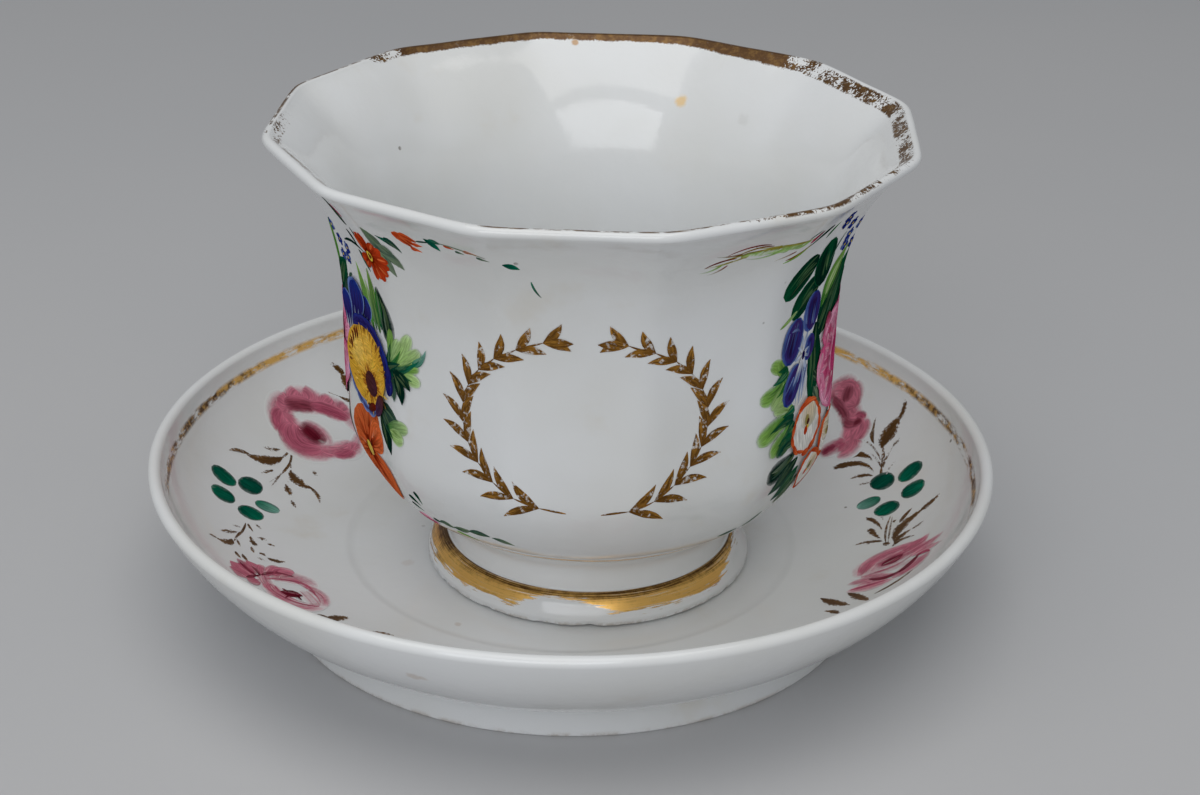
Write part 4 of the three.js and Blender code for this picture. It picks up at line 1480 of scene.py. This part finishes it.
# Roses on the saucer: shape, start, end, width, paint, bend, cover and softness of each mark
ROSE_FROM_BEHIND = (
    ("dab", (-0.3, 6.8), (7.2, 0.9), 5.9, DUSKY_PINK, 0.45, 0.9, 0.9),
    ("dab", (3.8, 6.0), (4.9, 0.3), 7.0, DUSKY_PINK, 0.15, 0.85, 0.85),
    ("dab", (6.8, 3.4), (2.5, -5.2), 8.9, DUSKY_PINK, 0.41, 0.9, 0.9),
    ("dab", (4.4, -3.5), (-4.1, -5.9), 6.9, DUSKY_PINK, 0.44, 0.85, 0.85),
    ("dab", (-0.9, -7.1), (-8.0, -3.8), 3.3, DUSKY_PINK, 0.16, 0.6, 0.6),
    ("dab", (2.0, 6.8), (-6.6, 2.4), 6.0, DUSKY_PINK, -0.19, 0.9, 0.9),
    ("dab", (-4.0, 4.2), (-8.0, -1.0), 6.6, DUSKY_PINK, -0.26, 0.85, 0.85),
    ("dab", (-7.2, 0.8), (-7.0, -4.7), 5.2, DUSKY_PINK, -0.3, 0.6, 0.6),
    ("dab", (0.8, 6.5), (-2.2, 7.7), 3.4, DUSKY_PINK, -0.02, 0.75, 0.75),
    ("dab", (-2.8, 5.8), (-2.9, 7.3), 4.7, DUSKY_PINK, 0.48, 0.7, 0.7),
    ("dab", (2.0, 6.5), (2.9, 8.0), 4.0, DUSKY_PINK, -0.02, 0.6, 0.6),
    ("dab", (-5.1, 3.7), (-7.8, 4.5), 3.2, DUSKY_PINK, -0.06, 0.65, 0.65),
    ("dab", (-7.4, 1.7), (-9.6, 2.2), 2.9, DUSKY_PINK, -0.12, 0.55, 0.55),
    ("dab", (2.3, 6.6), (-3.3, 3.8), 3.5, DUSKY_WINE, -0.08, 0.8, 0.8),
    ("dab", (-2.3, 4.6), (-7.4, -1.0), 3.5, DUSKY_ROSE, -0.2, 0.85, 0.85),
    ("dab", (3.8, 6.4), (7.8, 2.9), 3.1, DUSKY_ROSE, 0.32, 0.6, 0.6),
    ("dab", (3.9, 3.3), (4.2, -3.4), 7.2, DUSKY_ROSE, 0.8, 0.6, 0.6),
    ("dab", (1.9, 2.8), (1.8, -3.5), 4.2, DUSKY_PINK, -0.45, 0.7, 0.7),
    ("dab", (2.7, 2.9), (2.9, -3.0), 5.4, DUSKY_WINE, -0.1, 0.8, 0.8),
    ("dab", (2.6, 1.9), (2.7, -1.8), 3.4, DUSKY_WINE, -0.08, 0.9, 0.9),
    ("dab", (3.8, -6.3), (-1.1, -7.4), 3.7, DUSKY_ROSE, 0.28, 0.7, 0.7),
)
ROSE_TOWARDS_VIEWER = (
    ("dab", (-4.3, 2.1), (-0.3, -6.3), 4.8, DUSKY_PINK, -0.81, 0.62, 0.5),
    ("dab", (-1.9, -5.0), (7.9, -5.0), 2.4, DUSKY_PINK, -0.28, 0.66, 0.46),
    ("dab", (7.6, -5.3), (0.9, 1.9), 4.6, DUSKY_PINK, -0.57, 0.62, 0.5),
    ("dab", (-6.1, 1.4), (2.3, 1.1), 3.2, DUSKY_PINK, 0.14, 0.66, 0.53),
    ("dab", (-0.3, -3.7), (7.4, -3.7), 3.2, DUSKY_PINK, -0.1, 0.42, 0.34),
    ("dab", (-1.9, 1.3), (4.7, -0.8), 4.6, DUSKY_PINK, 0.23, 0.45, 0.36),
    ("dab", (-4.3, 0.2), (-2.4, -4.2), 3.5, DUSKY_PINK, -0.45, 0.3, 0.24),
    ("line", (-4.1, 1.1), (2.6, -5.5), 0.7, DUSKY_ROSE, -0.67, 0.6, 0.12),
    ("line", (0.6, 1.6), (7.4, -4.2), 0.7, DUSKY_ROSE, 0.28, 0.6, 0.12),
    ("line", (-4.0, -3.2), (6.0, -5.1), 0.4, DUSKY_ROSE, -0.24, 0.5, 0.1),
    ("line", (-1.1, 0.6), (5.8, -2.8), 0.6, DUSKY_ROSE, 0.28, 0.45, 0.09),
    ("leaf", (-3.9, 3.8), (-7.7, 6.7), 4.1, DUSKY_PINK, 0.09, 0.9, 0.27),
    ("leaf", (-5.0, 2.9), (-9.5, 5.2), 2.9, DUSKY_ROSE, 0.09, 0.7, 0.21),
    ("leaf", (-5.8, 2.0), (-9.8, 3.7), 2.6, DUSKY_PINK, 0.15, 0.9, 0.27),
    ("leaf", (-2.3, 4.1), (-5.0, 7.4), 4.0, DUSKY_PINK, 0.19, 0.85, 0.26),
    ("petal", (-4.7, 1.9), (-9.2, 1.0), 2.0, DUSKY_PINK, -0.07, 0.75, 0.3),
    ("petal", (-5.0, 1.0), (-9.7, -1.5), 2.4, DUSKY_PINK, 0.0, 0.85, 0.34),
    ("petal", (-5.6, -0.5), (-6.7, -4.0), 4.2, DUSKY_PINK, -0.67, 0.8, 0.32),
    ("leaf", (-1.8, 3.0), (-2.5, 5.1), 3.3, DUSKY_PINK, -0.33, 0.85, 0.26),
    ("leaf", (1.0, 0.4), (2.7, -3.1), 3.1, DUSKY_WINE, -0.06, 1.0, 0.3),
    ("line", (1.2, -0.8), (-0.4, -0.4), 0.6, DUSKY_WINE, 0.11, 0.85, 0.17),
    ("line", (2.2, -0.9), (3.9, 0.7), 0.4, DUSKY_WINE, 0.03, 0.8, 0.16),
    ("line", (1.7, -2.0), (4.4, -2.2), 0.5, DUSKY_WINE, -0.01, 0.85, 0.17),
    ("line", (-4.0, 2.7), (-8.4, 5.0), 0.7, DUSKY_WINE, -0.08, 0.8, 0.16),
    ("comma", (-2.5, 5.1), (-5.2, 1.6), 0.8, DUSKY_WINE, -0.12, 0.9, 0.18),
    ("line", (-5.0, 1.9), (-5.6, -3.8), 1.0, DUSKY_WINE, -0.44, 0.75, 0.22),
    ("line", (-4.7, 2.3), (-7.9, 3.1), 0.6, DUSKY_WINE, 0.12, 0.7, 0.14),
    ("line", (-5.5, -0.1), (-8.5, -2.1), 0.4, DUSKY_ROSE, -0.1, 0.6, 0.12),
)
ROSE_HALF_TURNED = (
    ("dab", (3.0, 7.4), (-3.0, 6.2), 5.4, DUSKY_PINK, 0.06, 0.8, 0.8),
    ("dab", (0.2, 6.4), (-5.6, 4.2), 5.0, DUSKY_PINK, 0.04, 0.9, 0.9),
    ("dab", (-3.6, 5.0), (-8.2, -0.6), 5.2, DUSKY_PINK, -0.2, 0.85, 0.85),
    ("dab", (4.6, 6.8), (-0.9, 8.0), 3.9, DUSKY_PINK, -0.3, 0.85, 0.85),
    ("dab", (0.6, 8.8), (-2.4, 6.1), 3.4, DUSKY_PINK, -0.35, 0.85, 0.85),
    ("dab", (2.4, 6.4), (-2.5, 6.6), 3.4, DUSKY_PINK, 0.08, 0.8, 0.8),
    ("dab", (2.8, 8.2), (-0.1, 8.9), 1.4, DUSKY_PINK, -0.23, 0.7, 0.7),
    ("dab", (-3.3, 4.2), (-7.3, 0.5), 5.6, DUSKY_PINK, -0.7, 0.9, 0.9),
    ("dab", (-6.4, 5.4), (-8.8, 1.2), 4.1, DUSKY_PINK, -0.29, 0.85, 0.85),
    ("dab", (-8.2, 1.8), (-8.4, -2.3), 6.3, DUSKY_PINK, -0.45, 0.85, 0.85),
    ("dab", (-4.1, 5.2), (-6.4, 5.6), 1.8, DUSKY_ROSE, -0.48, 0.75, 0.75),
    ("dab", (-6.9, 0.9), (-6.2, -4.8), 5.2, DUSKY_ROSE, 0.06, 0.8, 0.8),
    ("dab", (1.0, 8.8), (-0.4, 6.3), 2.5, DUSKY_WINE, 0.13, 0.75, 0.75),
    ("dab", (3.9, 6.1), (-3.5, 4.0), 2.1, DUSKY_WINE, -0.05, 0.7, 0.7),
    ("dab", (-2.4, 4.1), (-6.1, 5.6), 2.6, DUSKY_WINE, 0.61, 0.65, 0.65),
    ("dab", (-5.0, 4.2), (-5.9, 5.5), 2.1, DUSKY_WINE, 0.3, 0.8, 0.8),
    ("dab", (-6.1, -0.8), (-6.1, -4.4), 2.3, DUSKY_WINE, 0.06, 0.5, 0.5),
    ("dab", (-5.4, -5.2), (3.6, -6.6), 5.0, DUSKY_PINK, 0.16, 0.8, 0.8),
    ("dab", (2.6, -6.6), (7.0, 1.8), 5.6, DUSKY_PINK, 0.16, 0.85, 0.85),
    ("dab", (7.2, 0.2), (4.2, 7.4), 5.6, DUSKY_PINK, 0.14, 0.85, 0.85),
    ("dab", (2.6, -3.4), (2.4, 3.2), 4.6, DUSKY_WINE, -0.1, 0.8, 0.8),
    ("dab", (2.5, -2.0), (2.4, 2.0), 2.8, DUSKY_WINE, -0.1, 0.9, 0.9),
)
ROSE_FROM_THE_SIDE = (
    ("dab", (-2.6, -5.2), (4.9, 5.6), 7.2, DUSKY_PINK, -0.36, 0.58, 0.34),
    ("line", (-1.9, -5.1), (6.1, 5.1), 2.9, DUSKY_PINK, -0.6, 0.6, 0.3),
    ("leaf", (4.4, 1.1), (7.4, 5.8), 3.0, DUSKY_PINK, 0.2, 0.7, 0.4),
    ("leaf", (2.8, 2.2), (4.8, 8.2), 2.8, DUSKY_PINK, 0.08, 0.7, 0.4),
    ("leaf", (1.7, 2.8), (1.7, 8.3), 2.4, DUSKY_PINK, -0.08, 0.65, 0.4),
    ("dab", (1.1, -2.8), (3.6, 2.5), 4.6, DUSKY_ROSE, 0.01, 0.5, 0.48),
    ("leaf", (1.0, -1.8), (3.6, 1.7), 2.6, DUSKY_WINE, 0.03, 0.85, 0.34),
    ("line", (-2.6, -4.7), (0.6, 4.3), 1.6, DUSKY_ROSE, 0.02, 0.45, 0.14),
    ("leaf", (-5.7, -6.3), (-3.9, 2.3), 3.5, DUSKY_PINK, -0.24, 0.75, 0.4),
    ("leaf", (-8.9, -5.7), (-5.3, 1.8), 3.7, DUSKY_PINK, -0.06, 0.7, 0.4),
    ("leaf", (-5.1, 1.3), (0.3, 6.7), 3.8, DUSKY_PINK, -0.03, 0.75, 0.4),
    ("line", (-3.8, -3.0), (-2.5, 2.4), 1.3, DUSKY_WINE, 0.42, 0.8, 0.16),
    ("line", (-3.5, 2.0), (1.1, 4.6), 1.2, DUSKY_WINE, 0.05, 0.8, 0.16),
    ("line", (0.9, 4.2), (0.3, 6.5), 1.0, DUSKY_ROSE, -0.5, 0.8, 0.16),
    ("line", (3.4, -0.5), (5.5, 5.3), 0.8, DUSKY_ROSE, -0.03, 0.5, 0.1),
    ("line", (-1.3, -2.6), (2.1, 3.4), 0.7, DUSKY_ROSE, 0.17, 0.5, 0.1),
    ("line", (-8.1, -5.3), (-5.2, 0.6), 0.8, DUSKY_ROSE, -0.06, 0.6, 0.12),
)


def dusky_rose(p, marks, hairs):
    """A rose in a thin rose-purple wash, bare where the light falls, with dark folds and a dark eye."""
    for shape, start, end, width, paint, bend, cover, soft in marks:
        p.stroke(shape, start, end, width, paint, paint, bend, cover=cover, soft=soft)
        for k in range(hairs if width > 2 else 0):
            # Lines left by the hairs of the brush
            aside = p.near(0.3) * width
            first, last = beside(start, end, 0.1, aside), beside(start, end, 0.9, aside)
            root = DUSKY_ROSE if k else WHITE
            p.stroke("line", first, last, 0.3, root, DUSKY_PINK, bend, cover=0.35, dry=0.15)


def five_leaves(p):
    """Five blunt oval leaves in two rows, in thick green."""
    for start, end, width, root, tip in (
        ((-1.9, 2.1), (-3.0, 5.9), 3.7, TEAL, DEEP_TEAL),
        ((-4.3, -1.9), (-4.7, 1.9), 5.0, DEEP_TEAL, DEEP_TEAL),
        ((1.7, 1.2), (2.7, 4.8), 3.9, DEEP_TEAL, TEAL),
        ((-0.7, -1.8), (0.1, -5.8), 3.3, TEAL, PALE_TEAL),
        ((4.7, -3.5), (2.9, 0.2), 4.2, TEAL, DEEP_TEAL),
    ):
        p.stroke("dab", start, end, width, root, tip, p.near(0.05), edge=DEEP_TEAL, soft=0.35)
        root, tip = blend(root, TEAL, 0.6), blend(tip, TEAL, 0.6)
        p.stroke("dab", start, end, width * 0.6, root, tip, p.near(0.05), cover=0.5, soft=0.5)


def gold_spray(p, marks):
    """A gilt spray from one root: leaves that swell and taper, and fine stalks."""
    for shape, start, end, width, bend, cover in marks:
        broad = width > 0.7
        breadth, soft = (width * 1.2, 0.7) if broad else (width + 0.15, 0.2)
        # Dark brown gold: the gilding's colour darkened as a painted reflection of dark surroundings
        p.stroke(
            shape, start, end, breadth, DARK_GOLD, BROWN_GOLD, bend,
            cover=cover, dry=0.2 * cover, soft=soft * cover,
        )
        if broad:
            p.stroke(
                shape, start, end, width * 0.6, DARK_GOLD, DARK_GOLD, bend,
                cover=0.7 * cover, dry=0.3 * cover, soft=0.6 * cover,
            )


# Sprays on the saucer: shape, start, end, width, bend and cover of each mark
LONG_SPRAY = (
    ("line", (-0.1, 0.1), (8.2, -2.2), 0.3, -0.17, 0.9),
    ("line", (2.5, -1.4), (13.0, -1.4), 0.2, -0.15, 0.5),
    ("line", (8.7, -2.1), (13.7, -2.2), 0.2, -0.02, 0.6),
    ("line", (0.8, 0.1), (4.1, 0.0), 0.3, -0.09, 0.7),
    ("leaf", (3.5, 0.0), (9.4, 5.0), 2.2, -0.34, 1.0),
    ("line", (8.7, 4.2), (11.7, 6.7), 0.7, 0.18, 0.75),
    ("leaf", (1.9, 1.3), (4.5, 3.6), 1.0, -0.17, 0.6),
    ("leaf", (8.4, -0.6), (11.5, 0.7), 0.8, -0.05, 0.65),
    ("leaf", (5.9, -2.9), (9.2, -9.0), 2.4, 0.22, 0.85),
    ("line", (8.2, -7.5), (13.6, -11.5), 0.7, -0.24, 0.7),
    ("leaf", (10.9, -4.0), (14.8, -6.4), 1.3, 0.04, 0.85),
    ("leaf", (15.9, -6.6), (18.6, -8.1), 0.8, 0.0, 0.75),
    ("dab", (3.2, -6.3), (2.5, -7.1), 1.6, -0.07, 0.5),
    ("line", (3.9, -2.0), (10.8, -4.2), 0.2, -0.07, 0.3),
)
BROKEN_SPRAY = (
    ("line", (-0.3, 0.0), (6.1, 1.5), 0.3, -0.12, 0.9),
    ("line", (3.7, 0.9), (8.4, 2.1), 0.2, 0.02, 0.75),
    ("line", (6.9, 1.4), (9.1, 1.0), 0.3, -0.03, 0.8),
    ("leaf", (7.3, 2.3), (9.1, 5.5), 1.6, -0.7, 0.9),
    ("line", (9.5, 5.1), (9.4, 6.2), 0.5, 0.29, 0.6),
    ("leaf", (4.0, 1.3), (6.2, 4.4), 1.0, 0.01, 0.7),
    ("line", (1.9, 0.8), (2.3, 2.2), 0.4, 0.14, 0.5),
    ("line", (-0.4, -0.4), (1.9, -1.4), 0.4, 0.07, 0.75),
    ("line", (-1.2, -1.6), (0.2, -2.8), 0.4, -0.04, 0.55),
    ("comma", (7.2, -1.7), (3.5, -0.8), 1.1, -0.04, 0.9),
    ("leaf", (3.8, -2.2), (4.4, -3.8), 1.2, -0.34, 0.6),
    ("line", (5.3, -3.9), (5.8, -5.2), 0.8, -0.17, 0.75),
    ("leaf", (7.9, -1.0), (10.1, -1.3), 0.5, 0.04, 0.75),
    ("line", (11.6, 2.0), (13.6, 1.4), 0.5, 0.14, 0.85),
    ("leaf", (11.7, 0.9), (14.2, 0.2), 0.6, 0.09, 0.85),
    ("leaf", (9.4, -2.3), (10.6, -3.2), 1.0, -0.1, 0.8),
    ("leaf", (10.9, -3.5), (11.6, -6.8), 1.4, 0.35, 0.9),
    ("line", (11.4, -1.8), (12.5, -3.0), 0.5, 0.18, 0.4),
)
FERN_SPRAY = (
    ("line", (0.0, 0.0), (2.9, 1.2), 0.4, -0.06, 0.85),
    ("line", (2.7, 1.1), (7.7, 3.8), 0.5, 0.01, 0.6),
    ("leaf", (7.2, 3.4), (9.4, 8.9), 3.0, -0.22, 0.95),
    ("line", (9.0, 8.1), (10.7, 10.2), 1.0, 0.13, 0.85),
    ("leaf", (9.7, 3.1), (14.1, 6.5), 0.7, -0.2, 0.75),
    ("line", (2.3, 1.2), (5.6, 4.9), 0.3, -0.18, 0.5),
    ("leaf", (5.4, 4.7), (5.8, 6.4), 0.8, -0.07, 0.6),
    ("line", (-0.1, 0.9), (1.8, 3.6), 0.3, -0.28, 0.35),
    ("line", (2.8, 1.0), (8.0, 1.5), 0.2, 0.05, 0.5),
    ("line", (4.8, 1.8), (14.1, 2.3), 0.2, 0.1, 0.55),
    ("comma", (12.4, -2.5), (5.6, 0.7), 1.6, -0.34, 1.0),
    ("comma", (10.5, -5.2), (2.6, -0.5), 1.6, -0.41, 1.0),
    ("leaf", (1.8, -1.0), (4.5, -5.0), 1.1, 0.32, 0.8),
    ("leaf", (0.3, -2.0), (1.4, -4.5), 0.8, 0.11, 0.5),
)
LEAFY_SPRAY = (
    ("leaf", (0.2, 1.3), (7.4, 7.7), 2.0, -0.4, 1.0),
    ("line", (7.0, 6.3), (8.3, 9.9), 1.3, 0.0, 0.95),
    ("line", (6.4, 2.6), (9.4, 5.1), 0.7, -0.08, 0.8),
    ("leaf", (-0.9, 1.4), (2.5, 4.8), 1.2, -0.32, 0.85),
    ("line", (2.3, 4.4), (3.1, 6.6), 0.5, 0.03, 0.6),
    ("line", (-1.6, 1.1), (-0.4, 4.8), 0.7, -0.48, 0.7),
    ("line", (0.5, -0.1), (10.1, 1.5), 0.3, -0.1, 0.8),
    ("line", (0.5, 0.3), (9.6, 1.7), 0.2, -0.07, 0.7),
    ("dab", (0.5, -0.6), (-0.8, 0.6), 1.0, -0.04, 0.9),
    ("comma", (12.3, -2.7), (5.4, -0.6), 1.0, -0.13, 0.9),
    ("comma", (7.7, -2.7), (1.9, -0.7), 1.2, 0.07, 0.95),
    ("leaf", (1.2, -0.5), (1.8, -5.9), 1.2, 0.28, 0.8),
    ("dab", (2.0, -3.5), (2.0, -2.9), 1.3, 0.0, 0.9),
    ("leaf", (12.1, 0.1), (9.4, 0.0), 0.3, 0.04, 0.5),
    ("dab", (7.7, 1.5), (7.5, 2.2), 1.1, 0.04, 0.7),
)


def paint_saucer_flowers():
    p = Painter("enamel_saucer_flowers", on_saucer, 37)
    for girth, outward, flip, marks, hairs in (
        (-129, 0, False, ROSE_FROM_BEHIND, 0),
        (-65, -4, False, ROSE_TOWARDS_VIEWER, 3),
        (6, -2, True, ROSE_TOWARDS_VIEWER, 3),
        (77, -1, False, ROSE_FROM_THE_SIDE, 3),
        (132.5, 0.4, False, ROSE_HALF_TURNED, 0),
        (-188, 0, True, ROSE_FROM_BEHIND, 0),
    ):
        dusky_rose(p.at(girth, outward, flip=flip), marks, hairs)
    for girth, flip in (
        (-97.5, False), (-31, False), (41.5, True), (103.6, True), (160, True), (-158, False),
    ):
        five_leaves(p.at(girth, 0.4, p.near(3), 1.1, flip))
    return p


def paint_saucer_gilding():
    p = Painter("gilt_saucer_sprays", on_saucer, 41)
    for girth, outward, marks in (
        (-119.3, -0.3, LONG_SPRAY), (-88.8, -1.0, BROKEN_SPRAY), (-53.4, -1.4, LONG_SPRAY),
        (-24, 0, FERN_SPRAY),
        (14, -1, LEAFY_SPRAY), (48, -1, BROKEN_SPRAY), (86.5, -2.6, LEAFY_SPRAY), (110, 0.7, FERN_SPRAY),
        (142, -1, LEAFY_SPRAY), (166, 0, FERN_SPRAY), (-178, 0, LONG_SPRAY), (-151, -1, FERN_SPRAY),
    ):
        gold_spray(p.at(girth, outward), marks)
    # Single marks beside the front roses
    gold_spray(p.at(0, 0), (
        ("leaf", (65.0, -10.4), (62.6, -3.8), 2.4, 0.1, 0.95),
        ("leaf", (68.0, -6.4), (63.8, -0.8), 1.9, 0.05, 0.9),
        ("line", (66.7, -1.2), (73.6, 4.0), 0.5, 0.05, 0.8),
        ("leaf", (-53.0, -7.2), (-51.4, -11.2), 2.5, 0.1, 0.9),
        ("line", (-54.6, -6.4), (-53.0, -7.6), 0.7, 0.1, 0.8),
    ))
    return p


# Gilt wreath at the front of the cup

def paint_wreath():
    """Two twigs that rise on an oval from the bottom and nearly meet at the top."""
    p = Painter("gilt_wreath", on_cup, 53).at(-0.6, 43.5)
    joints = 25
    for side in (-1, 1):
        stalk = [np.multiply(oval(-82 + k * 6.4, 20.5, 15.5), (side, 1)) for k in range(joints)]
        for first, last in zip(stalk[:-1:2], stalk[2::2]):
            p.stroke("line", first, last, 0.4, GOLD, DULL_GOLD, cover=0.9)
        for k in range(2, joints, 2):
            here, there = stalk[k - 1], stalk[k]
            way = math.degrees(math.atan2(there[1] - here[1], there[0] - here[0]))
            for lean in (34, -34):
                end = step_off(there, way + lean, 6.4 - 0.08 * k)
                bend = -math.copysign(0.16, lean)
                p.stroke("leaf", there, end, 1.5, DULL_GOLD, GOLD, bend, cover=0.95, dry=0.1)
        end = step_off(stalk[-1], 180 if side > 0 else 0, 4.6)
        p.stroke("leaf", stalk[-1], end, 1.8, GOLD, DULL_GOLD)
    return p


# Stage

def lay_table():
    """A plain pale floor."""
    material, shader = new_material("table_paper")
    place = shader.object_place()
    tone = shader.remap(shader.noise(place, 3, 3), 0.3, 0.7)
    shader.surface({
        "Base Color": shader.mix(tone, linear(186, 187, 189), linear(190, 190, 191)),
        "Roughness": shader.remap(shader.noise(place, 40), 0.3, 0.7, 0.8, 0.9),
    })
    leave_selection()
    bpy.ops.mesh.primitive_plane_add(size=6, location=(0, 0, 0))
    table = bpy.context.object
    table.name = "table"
    table.data.materials.append(material)


def hang_light(name, place, aim, size, power, tint):
    leave_selection()
    bpy.ops.object.light_add(type="AREA", location=place)
    light = bpy.context.object
    light.name = name
    light.data.shape = "RECTANGLE"
    light.data.size, light.data.size_y = size
    light.data.energy = power
    light.data.color = tint
    light.rotation_euler = (Vector(aim) - Vector(place)).to_track_quat("-Z", "Y").to_euler()


def light_room():
    world = bpy.data.worlds.new("room")
    world.use_nodes = True
    bpy.context.scene.world = world
    background = world.node_tree.nodes["Background"]
    background.inputs["Color"].default_value = (0.93, 0.96, 1.0, 1)
    background.inputs["Strength"].default_value = 0.32
    for name, place, size, power, tint in (
        ("overhead_softbox", (-0.06, -0.2, 0.9), (0.9, 0.7), 3.2, (1, 0.98, 0.95)),
        ("front_softbox", (-0.15, -0.95, 0.55), (0.8, 0.6), 3.9, (0.97, 0.98, 1)),
    ):
        hang_light(name, place, (0, 0, 0.04), size, power, tint)


def set_camera():
    distance, elevation, roll = 0.37525, 0.44007, 0.017
    aim = Vector((0.004924, 0, 0.036191))
    leave_selection()
    bpy.ops.object.camera_add()
    camera = bpy.context.object
    camera.name = "camera"
    away = Vector((0, -math.cos(elevation), math.sin(elevation)))
    turn = Matrix.Rotation(math.pi / 2 - elevation, 4, "X") @ Matrix.Rotation(roll, 4, "Z")
    camera.matrix_world = Matrix.Translation(aim + away * distance) @ turn
    camera.data.sensor_width = 36
    camera.data.lens = 63.165
    camera.data.clip_start = 0.01
    bpy.context.scene.camera = camera
    bpy.context.scene.view_settings.view_transform = "Standard"


# Assembly

def dress(piece, material, body, node=None):
    piece.data.materials.clear()
    piece.data.materials.append(material)
    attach(piece, body)
    if node:
        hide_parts(node)


cup_body = make_cup_body()
cup_foot = make_cup_foot()
saucer_dish = make_saucer_dish()
saucer_foot_ring = make_saucer_foot_ring()
dress(cup_body, cup_body_glaze(), "cup", "cup_body")
dress(cup_foot, cup_foot_glaze(), "cup", "cup_foot")
dress(saucer_dish, saucer_glaze(), "saucer", "saucer_dish")
dress(saucer_foot_ring, saucer_foot_glaze(), "saucer", "saucer_foot_ring")

enamel = enamel_paint()
bright_gilding = gilt_paint("bright_gilding", dark=linear(104, 70, 28), shine=0.6, wear=0.8, grain=900)
# Gilding for the saucer's sprays: brown gold with little shine, its darkness a painted reflection of dark
# surroundings
painted_reflection_gilding = gilt_paint("painted_reflection_gilding", dark=DARK_GOLD, shine=0.2, wear=0.46, grain=2000)
paint_left_bouquet().fire(enamel, "cup", "enamel")
paint_right_bouquet().fire(enamel, "cup", "enamel")
paint_saucer_flowers().fire(enamel, "saucer", "enamel")
paint_saucer_gilding().fire(painted_reflection_gilding, "saucer", "gilding")
paint_wreath().fire(bright_gilding, "cup", "gilding")

lay_table()
light_room()
set_camera()
